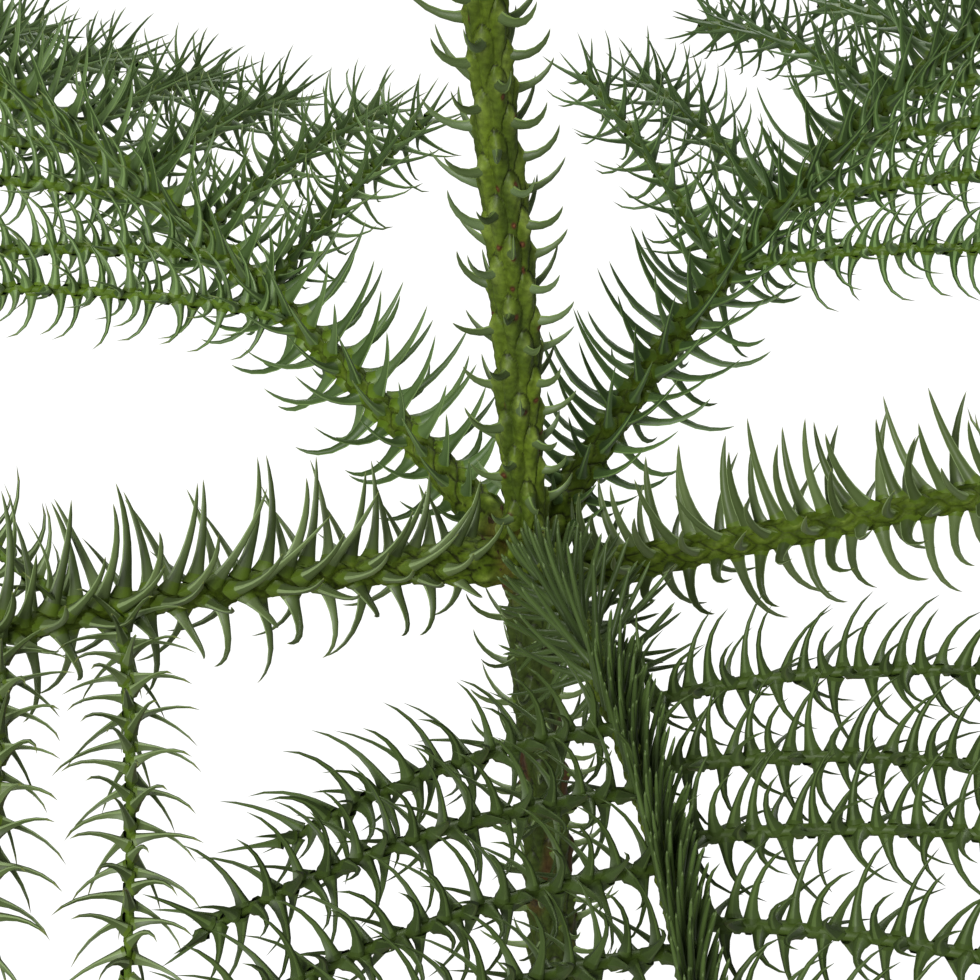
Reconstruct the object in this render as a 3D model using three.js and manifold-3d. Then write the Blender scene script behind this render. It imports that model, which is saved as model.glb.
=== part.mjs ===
// Young Norfolk Island pine in a plain clay pot: a straight trunk with tiers of five boughs and a top shoot.
// Millimetres, degrees, +Z up. The origin is the centre of the pot's flat underside.
import * as THREE from 'three';
import Module from 'manifold-3d';

const wasm = await Module();
wasm.setup();

const GAP = 0.3;
const SEAM = 0.12;

const POT = { height: 150, foot: 56, neck: 78, band: 84, bandLow: 124, wall: 6, floor: 9, edge: 1.6, sides: 36 };
const SOIL = { level: 139, edgeDrop: 4, seat: 12 };

// Half widths of the trunk at heights above the soil. The lean holds up to `straight` and then fades.
const TRUNK = {
  foot: SOIL.level + GAP,
  lean: -0.058,
  straight: 300,
  fade: 340,
  sides: 8,
  taper: [[0, 7.8], [6, 6.1], [18, 5.3], [90, 4.9], [186, 4.6], [199, 4.5], [214, 3.7], [290, 3.05], [330, 2.9],
    [337, 3.2], [344, 2.7], [450, 2.2], [457, 2.5], [464, 2], [557, 1.9], [632, 1.5]],
};

// A bough leaves the trunk at `azimuth` and climbs at `rise`, losing `arch` and turning by `sweep` along it.
// It is bare of side shoots for `bare` millimetres. Those on its left come `pitch` apart, and those on its
// right follow by a share of it, `stagger`. `left` and `right` tell how they differ from the rule, row by row,
// the last for all that follow: degrees more open, degrees lifted, and share of the length. They keep between
// two upright planes through the trunk, whose headings `sector` gives, the left one first.
const PLAIN = [[0, 0, 1]];
const LOWEST_TIER = {
  name: 'first',
  height: 197,
  boughs: {
    front: {
      azimuth: -76.5, rise: 22, arch: 27, sweep: -16, length: 215, bare: 66.5, drop: -1, pitch: 17, stagger: 0.3,
      sector: [-40, -112],
      left: [[7, 9, 1], [7, 3, 1], [6, 5, 1], [2, 1, 1]],
      right: [[0, -1, 1.25], [0, 3, 1.05], [0, 3, 1]],
    },
    right: {
      azimuth: -2, rise: 16.5, arch: 14, sweep: 4, length: 215, bare: 74, drop: 5, pitch: 18.5, stagger: 0.36,
      sector: [29, -40],
      left: PLAIN,
      right: PLAIN,
    },
    right_back: {
      azimuth: 62.5, rise: 17, arch: 25, sweep: -14, length: 212, bare: 68, drop: 4, pitch: 18.5, stagger: 0.08,
      sector: [94, 29],
      left: [[-6, 3, 0.97], [-6, -10, 0.9], [0, 0, 0], [3, -21, 1.1], [0, -22, 1]],
      right: [[-1, 1, 1], [-4, 3, 1], [-2, 4, 1]],
    },
    left_back: {
      azimuth: 128.5, rise: 16.5, arch: 27, sweep: 2, length: 215, bare: 59.5, drop: 2, pitch: 18, stagger: 0.4,
      sector: [169, 94],
      left: [[-4, 2, 1], [-1, -2, 1], [-3, 3, 1]],
      right: [[1.5, -5, 1.15], [3, -15, 0.97], [0, -20, 0.97], [0, -24, 1]],
    },
    left: {
      azimuth: 209, rise: 18, arch: 25, sweep: 3, length: 215, bare: 67, drop: 1, pitch: 18.5, stagger: 0.36,
      sector: [248, 169],
      left: [[2, -14, 1.1], [2, -10, 1], [0, -6, 1]],
      right: [[0, 2, 1]],
    },
  },
};
const UPPER_TIERS = [
  { name: 'second', height: 337, pitch: 18, count: 5, azimuth: 20, rise: 28, arch: 24, length: 172, bare: 46 },
  { name: 'third', height: 457, pitch: 18, count: 5, azimuth: 52, rise: 32, arch: 24, length: 132, bare: 34 },
  { name: 'fourth', height: 557, pitch: 17, count: 5, azimuth: 12, rise: 37, arch: 22, length: 92, bare: 25 },
];
const TOP = { height: 632, leader: 66, count: 5, azimuth: 48, rise: 44, arch: 14, length: 52, clear: 7 };

const BOUGH = { root: 0.46, end: 0.72, sides: 6, ahead: 4 };
const SPRAY = { stem: 0.95, tip: 0.5, sector: 4, shortest: 11, last: 12, ring: 24 };
const SIDE = {
  open: 68, close: 14, lift: 13, sag: 23, sweep: 8, reach: 0.34, stem: 0.85, tip: 0.35, ring: 10.5,
};
const JITTER = { open: 1.6, lift: 2, length: 0.08 };
const TOOTH = { side: 6.7, top: 8.2, forward: 4.4, below: 0.9 };
const NEEDLE = { length: 13, width: 0.5, sunk: 0.55, forward: 0.3, curl: 0.5, rows: 3, along: 19 };
const TRUNK_NEEDLE = { length: 11, width: 0.3, sunk: 0.35, forward: -0.1, curl: 0.95, around: 3, along: 36 };
const LIMB_STEPS = 48;
const UP = new THREE.Vector3(0, 0, 1);

// Even numbers between 0 and 1 from a whole-number seed.
class Seeded {
  constructor(seed) {
    this.state = seed;
  }

  next() {
    this.state = (this.state * 16807) % 2147483647;
    return this.state / 2147483647;
  }

  spread(size) {
    return size * (2 * this.next() - 1);
  }
}

const radians = THREE.MathUtils.degToRad;

function heading(azimuth, rise) {
  const flat = Math.cos(radians(rise));
  return new THREE.Vector3(
    flat * Math.cos(radians(azimuth)),
    flat * Math.sin(radians(azimuth)),
    Math.sin(radians(rise)),
  );
}

// Straight-line reading of a table of [place, value] pairs.
function read(table, place) {
  const above = table.findIndex((row) => row[0] >= place);
  if (above < 0) return table[table.length - 1][1];
  if (above === 0) return table[0][1];
  const [x0, y0] = table[above - 1];
  const [x1, y1] = table[above];
  return y0 + ((y1 - y0) * (place - x0)) / (x1 - x0);
}

// Centre line of a limb: its heading turns evenly from root to tip.
class Limb {
  constructor({ start, azimuth, rise, arch, sweep, length }) {
    Object.assign(this, { start, azimuth, rise, arch, sweep, length });
    this.points = [start.clone()];
    for (let i = 0; i < LIMB_STEPS; i += 1) {
      const step = this.along((i + 0.5) / LIMB_STEPS).multiplyScalar(length / LIMB_STEPS);
      this.points.push(this.points[i].clone().add(step));
    }
  }

  along(share) {
    return heading(this.azimuth + this.sweep * share, this.rise - this.arch * share);
  }

  at(s) {
    const place = (THREE.MathUtils.clamp(s, 0, this.length) / this.length) * LIMB_STEPS;
    const i = Math.min(Math.floor(place), LIMB_STEPS - 1);
    return this.points[i].clone().lerp(this.points[i + 1], place - i);
  }

  // Unit vectors along the limb, level across it, and square to both.
  frame(s) {
    const along = this.along(s / this.length);
    const across = new THREE.Vector3().crossVectors(UP, along).normalize();
    const over = new THREE.Vector3().crossVectors(along, across);
    return { along, across, over };
  }
}

// Closed skin over rings of points, with a point or a flat fan of the ring itself at each end.
function skin(rings, startPoint, endPoint, reachOf) {
  const count = rings[0].length;
  const points = rings.flat();
  const faces = [];
  const corner = (i, k) => i * count + (k % count);
  for (let i = 0; i + 1 < rings.length; i += 1) {
    for (let k = 0; k < count; k += 1) {
      const [a, b, c, d] = [corner(i, k), corner(i, k + 1), corner(i + 1, k + 1), corner(i + 1, k)];
      const crossesLow = reachOf && reachOf[b] + reachOf[d] < reachOf[a] + reachOf[c];
      faces.push(...(crossesLow ? [a, b, d, b, c, d] : [a, b, c, a, c, d]));
    }
  }
  const close = (ring, end, flip) => {
    for (let k = 0; k < count; k += 1) {
      const [a, b] = flip ? [corner(ring, k + 1), corner(ring, k)] : [corner(ring, k), corner(ring, k + 1)];
      if (end !== null) faces.push(a, b, end);
      else if (k > 0 && k < count - 1) faces.push(corner(ring, 0), a, b);
    }
  };
  if (startPoint) points.push(startPoint);
  close(0, startPoint ? points.length - 1 : null, true);
  if (endPoint) points.push(endPoint);
  close(rings.length - 1, endPoint ? points.length - 1 : null, false);
  return new wasm.Manifold(new wasm.Mesh({
    numProp: 3,
    vertProperties: new Float32Array(points.flatMap((p) => [p.x, p.y, p.z])),
    triVerts: new Uint32Array(faces),
  }));
}

// Solid of revolution about the upright axis, from a list of [radius, height] that starts and ends on it.
function turned(profile, sides) {
  const rings = profile.slice(1, -1).map(([radius, height]) => Array.from({ length: sides }, (_, k) => (
    heading((360 * k) / sides, 0).multiplyScalar(radius).setZ(height)
  )));
  const [low, high] = [profile[0], profile[profile.length - 1]];
  return skin(rings, new THREE.Vector3(0, 0, low[1]), new THREE.Vector3(0, 0, high[1]));
}

// Round tube along a limb from s0 to s1, whose radius is given at any s.
function tube(limb, s0, s1, radiusAt, sides, steps) {
  const rings = Array.from({ length: steps + 1 }, (_, i) => {
    const s = s0 + ((s1 - s0) * i) / steps;
    const { across, over } = limb.frame(s);
    return Array.from({ length: sides }, (_unused, k) => {
      const turn = (2 * Math.PI * k) / sides;
      return limb.at(s)
        .addScaledVector(across, radiusAt(s) * Math.cos(turn))
        .addScaledVector(over, radiusAt(s) * Math.sin(turn));
    });
  });
  return skin(rings, null, null);
}

// Awl-shaped needle of three sides on a limb of the given half width, whose tip is carried towards `bend`.
function needle(root, outward, bend, size, limbRadius) {
  const side = new THREE.Vector3().crossVectors(bend, outward).normalize();
  const sunkRoot = root.clone().addScaledVector(outward, -size.sunk * limbRadius);
  const ring = [0, 1, 2].map((k) => {
    const turn = (2 * Math.PI * k) / 3;
    return sunkRoot.clone()
      .addScaledVector(side, size.width * limbRadius * Math.cos(turn))
      .addScaledVector(bend, size.width * limbRadius * Math.sin(turn));
  });
  const tip = root.clone().addScaledVector(outward, size.length).addScaledVector(bend, size.length * size.curl);
  return skin([ring], null, tip);
}

// Shoot clothed in needles, as a blade with teeth to left and right and a row of teeth along its top.
// Corners stand out as teeth and fall back to the stem by turns, each tooth leaning towards the tip.
function toothedShoot(limb, { s0, s1, stem, tip, teethFrom, sidesFrom = 0, sideTooth, topTooth, ring }) {
  const steps = Math.max(2, Math.round((s1 - s0) / ring));
  const rings = [];
  const reachOf = [];
  for (let i = 0; i < steps; i += 1) {
    const s = s0 + ((s1 - s0) * i) / steps;
    const { along, across, over } = limb.frame(s);
    const radius = THREE.MathUtils.lerp(stem, tip, i / steps);
    const fade = Math.min(1, 0.55 + (1.6 * (s1 - s)) / (s1 - s0));
    const sided = i % 2 === 1 && s >= Math.max(teethFrom, sidesFrom);
    const topped = i > 0 && i % 2 === 0 && s >= teethFrom;
    const wide = sided ? sideTooth * fade : radius;
    const high = topped ? topTooth * fade : radius;
    const place = (outAcross, outOver, lean) => limb.at(s)
      .addScaledVector(across, outAcross)
      .addScaledVector(over, outOver)
      .addScaledVector(along, lean);
    const lean = TOOTH.forward * fade;
    rings.push([
      place(wide, -TOOTH.below * radius, sided ? lean : 0),
      place(0, high, topped ? lean : 0),
      place(-wide, -TOOTH.below * radius, sided ? lean : 0),
    ]);
    reachOf.push(wide, high, wide);
  }
  return skin(rings, null, limb.at(s1), reachOf);
}

// One solid from several, without the slivers that their seams leave.
const union = (solids) => wasm.Manifold.union(solids).simplify(SEAM);

function trunkCentre(height) {
  const bent = THREE.MathUtils.clamp(height - TRUNK.straight, 0, TRUNK.fade);
  const run = Math.min(height, TRUNK.straight) + bent - (bent * bent) / (2 * TRUNK.fade);
  return new THREE.Vector3(TRUNK.lean * run, 0, TRUNK.foot + height);
}

function trunkSolid(extra) {
  const rings = TRUNK.taper.map(([height, radius]) => Array.from({ length: TRUNK.sides }, (_, k) => (
    heading((360 * k) / TRUNK.sides, 0).multiplyScalar(radius + extra).add(trunkCentre(height))
  )));
  return skin(rings, null, null);
}

function trunkWithNeedles(tierHeights) {
  const rng = new Seeded(4021);
  const needles = [];
  for (let height = 16; height < TOP.height - 6; height += TRUNK_NEEDLE.along) {
    const turn = rng.next() * 360;
    for (let k = 0; k < TRUNK_NEEDLE.around; k += 1) {
      const place = height + (k * TRUNK_NEEDLE.along) / TRUNK_NEEDLE.around;
      if (tierHeights.some((tier) => Math.abs(place - tier) < 13)) continue;
      const outward = heading(turn + (360 * k) / TRUNK_NEEDLE.around, 0);
      const radius = read(TRUNK.taper, place);
      const root = trunkCentre(place).addScaledVector(outward, radius);
      const bend = outward.clone().multiplyScalar(TRUNK_NEEDLE.forward).add(UP).normalize();
      needles.push(needle(root, outward, bend, TRUNK_NEEDLE, radius));
    }
  }
  return union([trunkSolid(0), ...needles]);
}

// Five boughs of an upper tier, evenly round the trunk with a little seeded unevenness.
function tierBoughs(tier, tierNumber) {
  if (tier.boughs) return Object.entries(tier.boughs).map(([key, bough]) => ({ ...bough, key }));
  const rng = new Seeded(900 + 7 * tierNumber);
  return Array.from({ length: tier.count }, (_, k) => ({
    key: String(k + 1),
    azimuth: tier.azimuth + (360 * k) / tier.count + rng.spread(5),
    rise: tier.rise + rng.spread(3),
    arch: tier.arch,
    sweep: rng.spread(6),
    length: tier.length * (1 + rng.spread(0.05)),
    bare: tier.bare,
    drop: rng.spread(2),
    pitch: tier.pitch,
    stagger: 0.36,
    left: PLAIN,
    right: PLAIN,
  }));
}

function boughLimb(tier, bough) {
  const start = trunkCentre(tier.height - bough.drop);
  return new Limb({ ...bough, start });
}

function boughRadius(tier, bough) {
  const root = BOUGH.root * read(TRUNK.taper, tier.height);
  return (s) => root * THREE.MathUtils.lerp(1, BOUGH.end, Math.min(1, s / bough.bare));
}

// Bough from the trunk's skin to where its spray begins, with its own needles.
function boughSolid(tier, bough, rng) {
  const limb = boughLimb(tier, bough);
  const radiusAt = boughRadius(tier, bough);
  const end = bough.bare - BOUGH.ahead;
  const steps = Math.max(1, Math.round(end / 18));
  const wood = tube(limb, 0, end, radiusAt, BOUGH.sides, steps);
  const needles = [];
  for (let s = 14; s < end - 5; s += NEEDLE.along) {
    for (let k = 0; k < NEEDLE.rows; k += 1) {
      const place = s + (k * NEEDLE.along) / NEEDLE.rows;
      if (place > end - 3) continue;
      const turn = radians((360 * k) / NEEDLE.rows + 90 + rng.spread(20));
      const { along, across, over } = limb.frame(place);
      const outward = across.multiplyScalar(Math.cos(turn)).addScaledVector(over, Math.sin(turn));
      const root = limb.at(place).addScaledVector(outward, radiusAt(place) * 0.8);
      const forward = along.clone().multiplyScalar(NEEDLE.forward).add(outward).normalize();
      const bend = along.addScaledVector(UP, 0.5).normalize();
      needles.push(needle(root, forward, bend, NEEDLE, radiusAt(place)));
    }
  }
  return union([wood, ...needles]);
}

// How far a side shoot may grow before it nears the upright planes midway to the neighbouring boughs.
function roomInSector(from, direction, sector) {
  let room = Infinity;
  for (const outside of sector.outsides) {
    const inward = -outside.dot(from.clone().sub(sector.centre)) - SPRAY.sector;
    const closing = outside.dot(direction);
    if (inward <= 0) return 0;
    if (closing > 0.02) room = Math.min(room, inward / closing);
  }
  return room;
}

function sectorOf(tier, boughs, index) {
  const middle = (bough) => bough.azimuth + bough.sweep * 0.25;
  const own = middle(boughs[index]);
  const gaps = boughs.filter((_, i) => i !== index).map((bough) => (((middle(bough) - own) % 360) + 360) % 360);
  const midway = [own + Math.min(...gaps) / 2, own - (360 - Math.max(...gaps)) / 2];
  const [left, right] = boughs[index].sector || midway;
  return { centre: trunkCentre(tier.height), outsides: [heading(left + 90, 0), heading(right - 90, 0)] };
}

// Share of a spray's widest reach that its side shoots have, u being the place along the spray.
function sprayOutline(u) {
  return Math.min(0.82 + 0.5 * u, 1, 1.25 * (1 - u) + 0.16);
}

// Side shoots of a bough, in pairs a little apart, each with its own limb.
function sideShoots(tier, bough, sector, rng) {
  const limb = boughLimb(tier, bough);
  const shoots = [];
  for (let row = 0; bough.bare + bough.pitch * row < bough.length - SPRAY.last; row += 1) {
    for (const side of [1, -1]) {
      const s = bough.bare + bough.pitch * (row + (side > 0 ? 0 : bough.stagger));
      const u = Math.min(1, (s - bough.bare) / (bough.length - bough.bare));
      const habits = side > 0 ? bough.left : bough.right;
      const [wider, raised, share] = habits[Math.min(row, habits.length - 1)];
      const { along, across } = limb.frame(s);
      const open = radians(SIDE.open - SIDE.close * u + wider + rng.spread(JITTER.open));
      const lift = SIDE.lift + raised + rng.spread(JITTER.lift);
      const wanted = SIDE.reach * bough.length * sprayOutline(u) * share * (1 + rng.spread(JITTER.length));
      const direction = along.clone().multiplyScalar(Math.cos(open)).addScaledVector(across, side * Math.sin(open));
      const flat = direction.clone().setZ(0).normalize();
      const length = Math.min(wanted, roomInSector(limb.at(s), flat, sector));
      if (length < SPRAY.shortest || s > bough.length - 4) continue;
      shoots.push(new Limb({
        start: limb.at(s),
        azimuth: THREE.MathUtils.radToDeg(Math.atan2(direction.y, direction.x)),
        rise: THREE.MathUtils.radToDeg(Math.asin(direction.z)) + lift,
        arch: SIDE.sag,
        sweep: -side * SIDE.sweep,
        length,
      }));
    }
  }
  return shoots;
}

// Spray of a bough: its stem runs on to the tip, with every side shoot's root sunk in it.
function spraySolid(tier, bough, sector, rng) {
  const limb = boughLimb(tier, bough);
  const radiusAt = boughRadius(tier, bough);
  const from = bough.bare - BOUGH.ahead + GAP;
  const stem = toothedShoot(limb, {
    s0: from,
    s1: bough.length,
    stem: radiusAt(from) * SPRAY.stem,
    tip: SPRAY.tip,
    teethFrom: 0,
    sidesFrom: bough.length - 14,
    sideTooth: TOOTH.side * 0.7,
    topTooth: TOOTH.top,
    ring: SPRAY.ring,
  });
  const shoots = sideShoots(tier, bough, sector, rng).map((shoot) => toothedShoot(shoot, {
    s0: 0,
    s1: shoot.length,
    stem: SIDE.stem,
    tip: SIDE.tip,
    teethFrom: 6,
    sideTooth: TOOTH.side,
    topTooth: TOOTH.top,
    ring: SIDE.ring,
  }));
  return union([stem, ...shoots]);
}

// Young top: the leading shoot with a ring of short shoots round its foot, on a stub of the trunk.
function topSolid() {
  const rng = new Seeded(77);
  const foot = trunkCentre(TOP.height).setZ(TRUNK.foot + TOP.height + GAP);
  const upright = new Limb({ start: foot, azimuth: 0, rise: 89, arch: 0, sweep: 0, length: TOP.leader });
  const parts = [toothedShoot(upright, {
    s0: 0,
    s1: TOP.leader,
    stem: 1.5,
    tip: 0.5,
    teethFrom: 24,
    sideTooth: TOOTH.side * 0.8,
    topTooth: TOOTH.top * 0.8,
    ring: 7,
  })];
  for (let k = 0; k < TOP.count; k += 1) {
    const shoot = new Limb({
      start: upright.at(TOP.clear),
      azimuth: TOP.azimuth + (360 * k) / TOP.count + rng.spread(6),
      rise: TOP.rise + rng.spread(4),
      arch: TOP.arch,
      sweep: 0,
      length: TOP.length * (1 + rng.spread(0.08)),
    });
    parts.push(toothedShoot(shoot, {
      s0: 0,
      s1: shoot.length,
      stem: 0.9,
      tip: 0.35,
      teethFrom: 15,
      sideTooth: TOOTH.side * 0.85,
      topTooth: TOOTH.top * 0.85,
      ring: 7,
    }));
  }
  return union(parts);
}

function potSolid() {
  const rise = POT.height - POT.floor;
  const rimInside = POT.band - POT.wall;
  const floorRadius = POT.foot - POT.wall + 1;
  const profile = [
    [0, 0],
    [POT.foot - POT.edge, 0],
    [POT.foot, POT.edge],
    [POT.neck, POT.bandLow - 2],
    [POT.band - POT.edge, POT.bandLow],
    [POT.band, POT.bandLow + POT.edge],
    [POT.band, POT.height - POT.edge],
    [POT.band - POT.edge, POT.height],
    [rimInside + POT.edge, POT.height],
    [rimInside, POT.height - POT.edge],
    [floorRadius, POT.floor],
    [0, POT.floor],
  ];
  const wallAt = (height) => THREE.MathUtils.lerp(floorRadius, rimInside, (height - POT.floor) / (rise - POT.edge));
  return { solid: turned(profile, POT.sides), wallAt };
}

function soilSolid(wallAt) {
  const top = SOIL.level;
  const edge = top - SOIL.edgeDrop;
  const profile = [
    [0, POT.floor + GAP],
    [wallAt(POT.floor + GAP) - GAP, POT.floor + GAP],
    [wallAt(edge) - GAP, edge],
    [wallAt(edge) - 5, edge + 1.6],
    [38, top - 0.8],
    [SOIL.seat, top],
    [0, top],
  ];
  return turned(profile, POT.sides);
}

const FINISH = {
  clay: { color: 0xb5663f, roughness: 0.85 },
  soil: { color: 0x33251c, roughness: 0.95 },
  trunk: { color: 0x536f26, roughness: 0.6 },
  bough: { color: 0x5d8030, roughness: 0.6 },
  spray: { color: 0x3f5f35, roughness: 0.5 },
};

function meshOf(name, solid, finish) {
  const { vertProperties, triVerts } = solid.getMesh();
  const geometry = new THREE.BufferGeometry();
  geometry.setAttribute('position', new THREE.BufferAttribute(vertProperties, 3));
  geometry.setIndex(new THREE.BufferAttribute(triVerts, 1));
  geometry.computeVertexNormals();
  const mesh = new THREE.Mesh(geometry, new THREE.MeshStandardMaterial({ ...finish, metalness: 0 }));
  mesh.name = name;
  return mesh;
}

const group = new THREE.Group();
group.name = 'potted_norfolk_island_pine';

const pot = potSolid();
group.add(meshOf('pot', pot.solid, FINISH.clay));
group.add(meshOf('potting_soil', soilSolid(pot.wallAt), FINISH.soil));

const tiers = [LOWEST_TIER, ...UPPER_TIERS];
group.add(meshOf('trunk', trunkWithNeedles(tiers.map((tier) => tier.height)), FINISH.trunk));

const trunkClearance = trunkSolid(GAP);
tiers.forEach((tier, tierNumber) => {
  const boughs = tierBoughs(tier, tierNumber);
  boughs.forEach((bough, index) => {
    const name = `${tier.name}_tier_${bough.key}`;
    const rng = new Seeded(1000 + 50 * tierNumber + index);
    const spray = spraySolid(tier, bough, sectorOf(tier, boughs, index), rng);
    const wood = boughSolid(tier, bough, rng).subtract(trunkClearance).simplify(SEAM);
    group.add(meshOf(`${name}_bough`, wood, FINISH.bough));
    group.add(meshOf(`${name}_spray`, spray, FINISH.spray));
  });
});
group.add(meshOf('top_shoot', topSolid(), FINISH.spray));

export default group;
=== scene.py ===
"""Looks of a young Norfolk Island pine in a clay pot, framed close on its lowest tier of boughs.

Trunk, boughs and side shoots follow the same rule and sizes as the solids, and are clothed here in their
real needles, each on a swollen leaf base. Lengths are in millimetres and angles in degrees until a mesh is made.
"""

import logging
import math
from collections.abc import Callable
from dataclasses import dataclass, field, replace
from enum import Enum
from functools import partial

import bpy
import numpy as np
from mathutils import Matrix, Vector


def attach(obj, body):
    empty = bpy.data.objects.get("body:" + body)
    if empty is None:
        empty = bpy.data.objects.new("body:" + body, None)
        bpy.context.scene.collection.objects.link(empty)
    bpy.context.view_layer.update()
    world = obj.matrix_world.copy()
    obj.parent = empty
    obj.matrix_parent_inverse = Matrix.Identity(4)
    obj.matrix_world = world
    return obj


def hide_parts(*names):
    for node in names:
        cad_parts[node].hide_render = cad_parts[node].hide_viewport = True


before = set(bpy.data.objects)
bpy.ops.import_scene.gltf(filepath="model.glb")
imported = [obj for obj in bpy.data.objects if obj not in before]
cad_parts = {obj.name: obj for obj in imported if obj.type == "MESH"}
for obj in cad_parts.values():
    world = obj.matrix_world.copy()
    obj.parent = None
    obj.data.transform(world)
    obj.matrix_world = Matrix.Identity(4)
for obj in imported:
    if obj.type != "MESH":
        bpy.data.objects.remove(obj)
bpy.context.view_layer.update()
LOG = logging.getLogger("norfolk_pine")
GOLDEN_ANGLE = 137.508
BOUGHS_IN_TIER = 5
MM = 0.001

Numbers = float | np.ndarray
Triple = tuple[np.ndarray, np.ndarray, np.ndarray]
HalfWidth = Callable[[Numbers], Numbers]


class Slot(str, Enum):
    """Material slots of the record."""

    CLAY = "clay"
    SOIL = "soil"
    TRUNK = "trunk_bark"
    BOUGH = "bough_bark"
    NEEDLES = "needles"


# ---------------------------------------------------------------------------------------------------------
# Growth: the centre lines of trunk, boughs and side shoots
# ---------------------------------------------------------------------------------------------------------
class Seeded:
    """Even numbers between 0 and 1 from a whole-number seed, the same as the solids were grown with."""

    FACTOR = 16807
    RANGE = 2147483647

    def __init__(self, seed: int) -> None:
        """Starts the row of numbers at any whole number above 0."""
        self.state = seed

    def next(self) -> float:
        """Returns the next number between 0 and 1."""
        self.state = (self.state * self.FACTOR) % self.RANGE
        return self.state / self.RANGE

    def spread(self, size: float) -> float:
        """Returns the next number between -size and size."""
        return size * (2 * self.next() - 1)


def heading(azimuth: Numbers, rise: Numbers) -> np.ndarray:
    """Unit vectors that point towards an azimuth and climb by a rise.

    Args:
        azimuth: degrees from +X towards +Y.
        rise: degrees above the level.

    Returns:
        Array of vectors, with the shape of the angles and a last axis of 3.
    """
    azimuth, rise = np.broadcast_arrays(np.radians(azimuth), np.radians(rise))
    flat = np.cos(rise)
    return np.stack([flat * np.cos(azimuth), flat * np.sin(azimuth), np.sin(rise)], -1)


def unit(vectors: np.ndarray) -> np.ndarray:
    """Scales vectors to length 1.

    Args:
        vectors: array whose last axis holds x, y and z.

    Returns:
        The scaled array.
    """
    return vectors / np.maximum(np.linalg.norm(vectors, axis=-1, keepdims=True), 1e-12)


def bell(distance: Numbers, width: float) -> Numbers:
    """Weight that is 1 at no distance and dies away beyond the width, as exp(-(distance / width) squared).

    Args:
        distance: how far from the middle.
        width: distance at which about a third is left.

    Returns:
        Weights from 0 to 1.
    """
    return np.exp(-((distance / width) ** 2))


def ramp(values: Numbers, start: float, end: float) -> Numbers:
    """Share that rises evenly from 0 at the start to 1 at the end, and keeps level beyond them.

    Args:
        values: the numbers.
        start: number with the share 0.
        end: number with the share 1, above or below the start.

    Returns:
        Shares from 0 to 1.
    """
    return np.clip((values - start) / (end - start), 0, 1)


def ring_angles(columns: int) -> np.ndarray:
    """Angles of the corners of a ring.

    Args:
        columns: number of corners.

    Returns:
        The angles in radians, from 0.
    """
    return np.linspace(0, 2 * np.pi, columns, endpoint=False)


class Limb:
    """Centre line whose heading turns evenly from root to tip."""

    STEPS = 48

    def __init__(self, start: np.ndarray, azimuth: float, rise: float, arch: float, sweep: float,
                 length: float) -> None:
        """Lays out the line.

        Args:
            start: root, in millimetres.
            azimuth: heading at the root.
            rise: climb at the root.
            arch: climb lost from root to tip.
            sweep: azimuth gained from root to tip.
            length: length along the line.
        """
        self.azimuth, self.rise, self.arch, self.sweep, self.length = azimuth, rise, arch, sweep, length
        shares = (np.arange(self.STEPS) + 0.5) / self.STEPS
        steps = self.along(shares) * length / self.STEPS
        self.points = np.vstack([start, start + np.cumsum(steps, 0)])

    def along(self, share: Numbers) -> np.ndarray:
        """Headings at shares of the length, as unit vectors."""
        return heading(self.azimuth + self.sweep * share, self.rise - self.arch * share)

    def at(self, s: Numbers) -> np.ndarray:
        """Points on the line.

        Args:
            s: distances from the root.

        Returns:
            The points.
        """
        place = np.clip(np.asarray(s, float), 0, self.length) / self.length * self.STEPS
        low = np.minimum(place.astype(int), self.STEPS - 1)
        part = (place - low)[..., None]
        return self.points[low] * (1 - part) + self.points[low + 1] * part

    def axes(self, s: Numbers) -> Triple:
        """Unit vectors along the line, level across it, and square to both.

        Args:
            s: distances from the root.

        Returns:
            The three arrays of vectors.
        """
        along = self.along(np.asarray(s, float) / self.length)
        across = unit(np.cross(np.array([0, 0, 1.0]), along))
        return along, across, np.cross(along, across)


@dataclass(frozen=True)
class TrunkForm:
    """The trunk's line and thickness, heights being above its foot, whose own height is `foot`.

    It leans sideways by `lean` for each millimetre up to the height `straight`, and less and less over the next
    `fade` millimetres, above which it is upright. `radii` are its half widths at `heights`.
    """

    foot: float = 139.3
    lean: float = -0.058
    straight: float = 300.0
    fade: float = 340.0
    top: float = 632.0
    heights: tuple[float, ...] = (0, 6, 18, 90, 186, 199, 214, 290, 330, 337, 344, 450, 457, 464, 557, 632)
    radii: tuple[float, ...] = (7.8, 6.1, 5.3, 4.9, 4.6, 4.5, 3.7, 3.05, 2.9, 3.2, 2.7, 2.2, 2.5, 2.0, 1.9, 1.5)

    def centre(self, height: Numbers) -> np.ndarray:
        """Centre of the trunk.

        Args:
            height: heights above the foot.

        Returns:
            Points in millimetres.
        """
        height = np.asarray(height, float)
        bent = np.clip(height - self.straight, 0, self.fade)
        run = np.minimum(height, self.straight) + bent - bent**2 / (2 * self.fade)
        return np.stack([self.lean * run, np.zeros_like(run), self.foot + height], -1)

    def radius(self, height: Numbers) -> np.ndarray:
        """Half width of the trunk at heights above the foot."""
        return np.interp(height, self.heights, self.radii)


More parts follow.
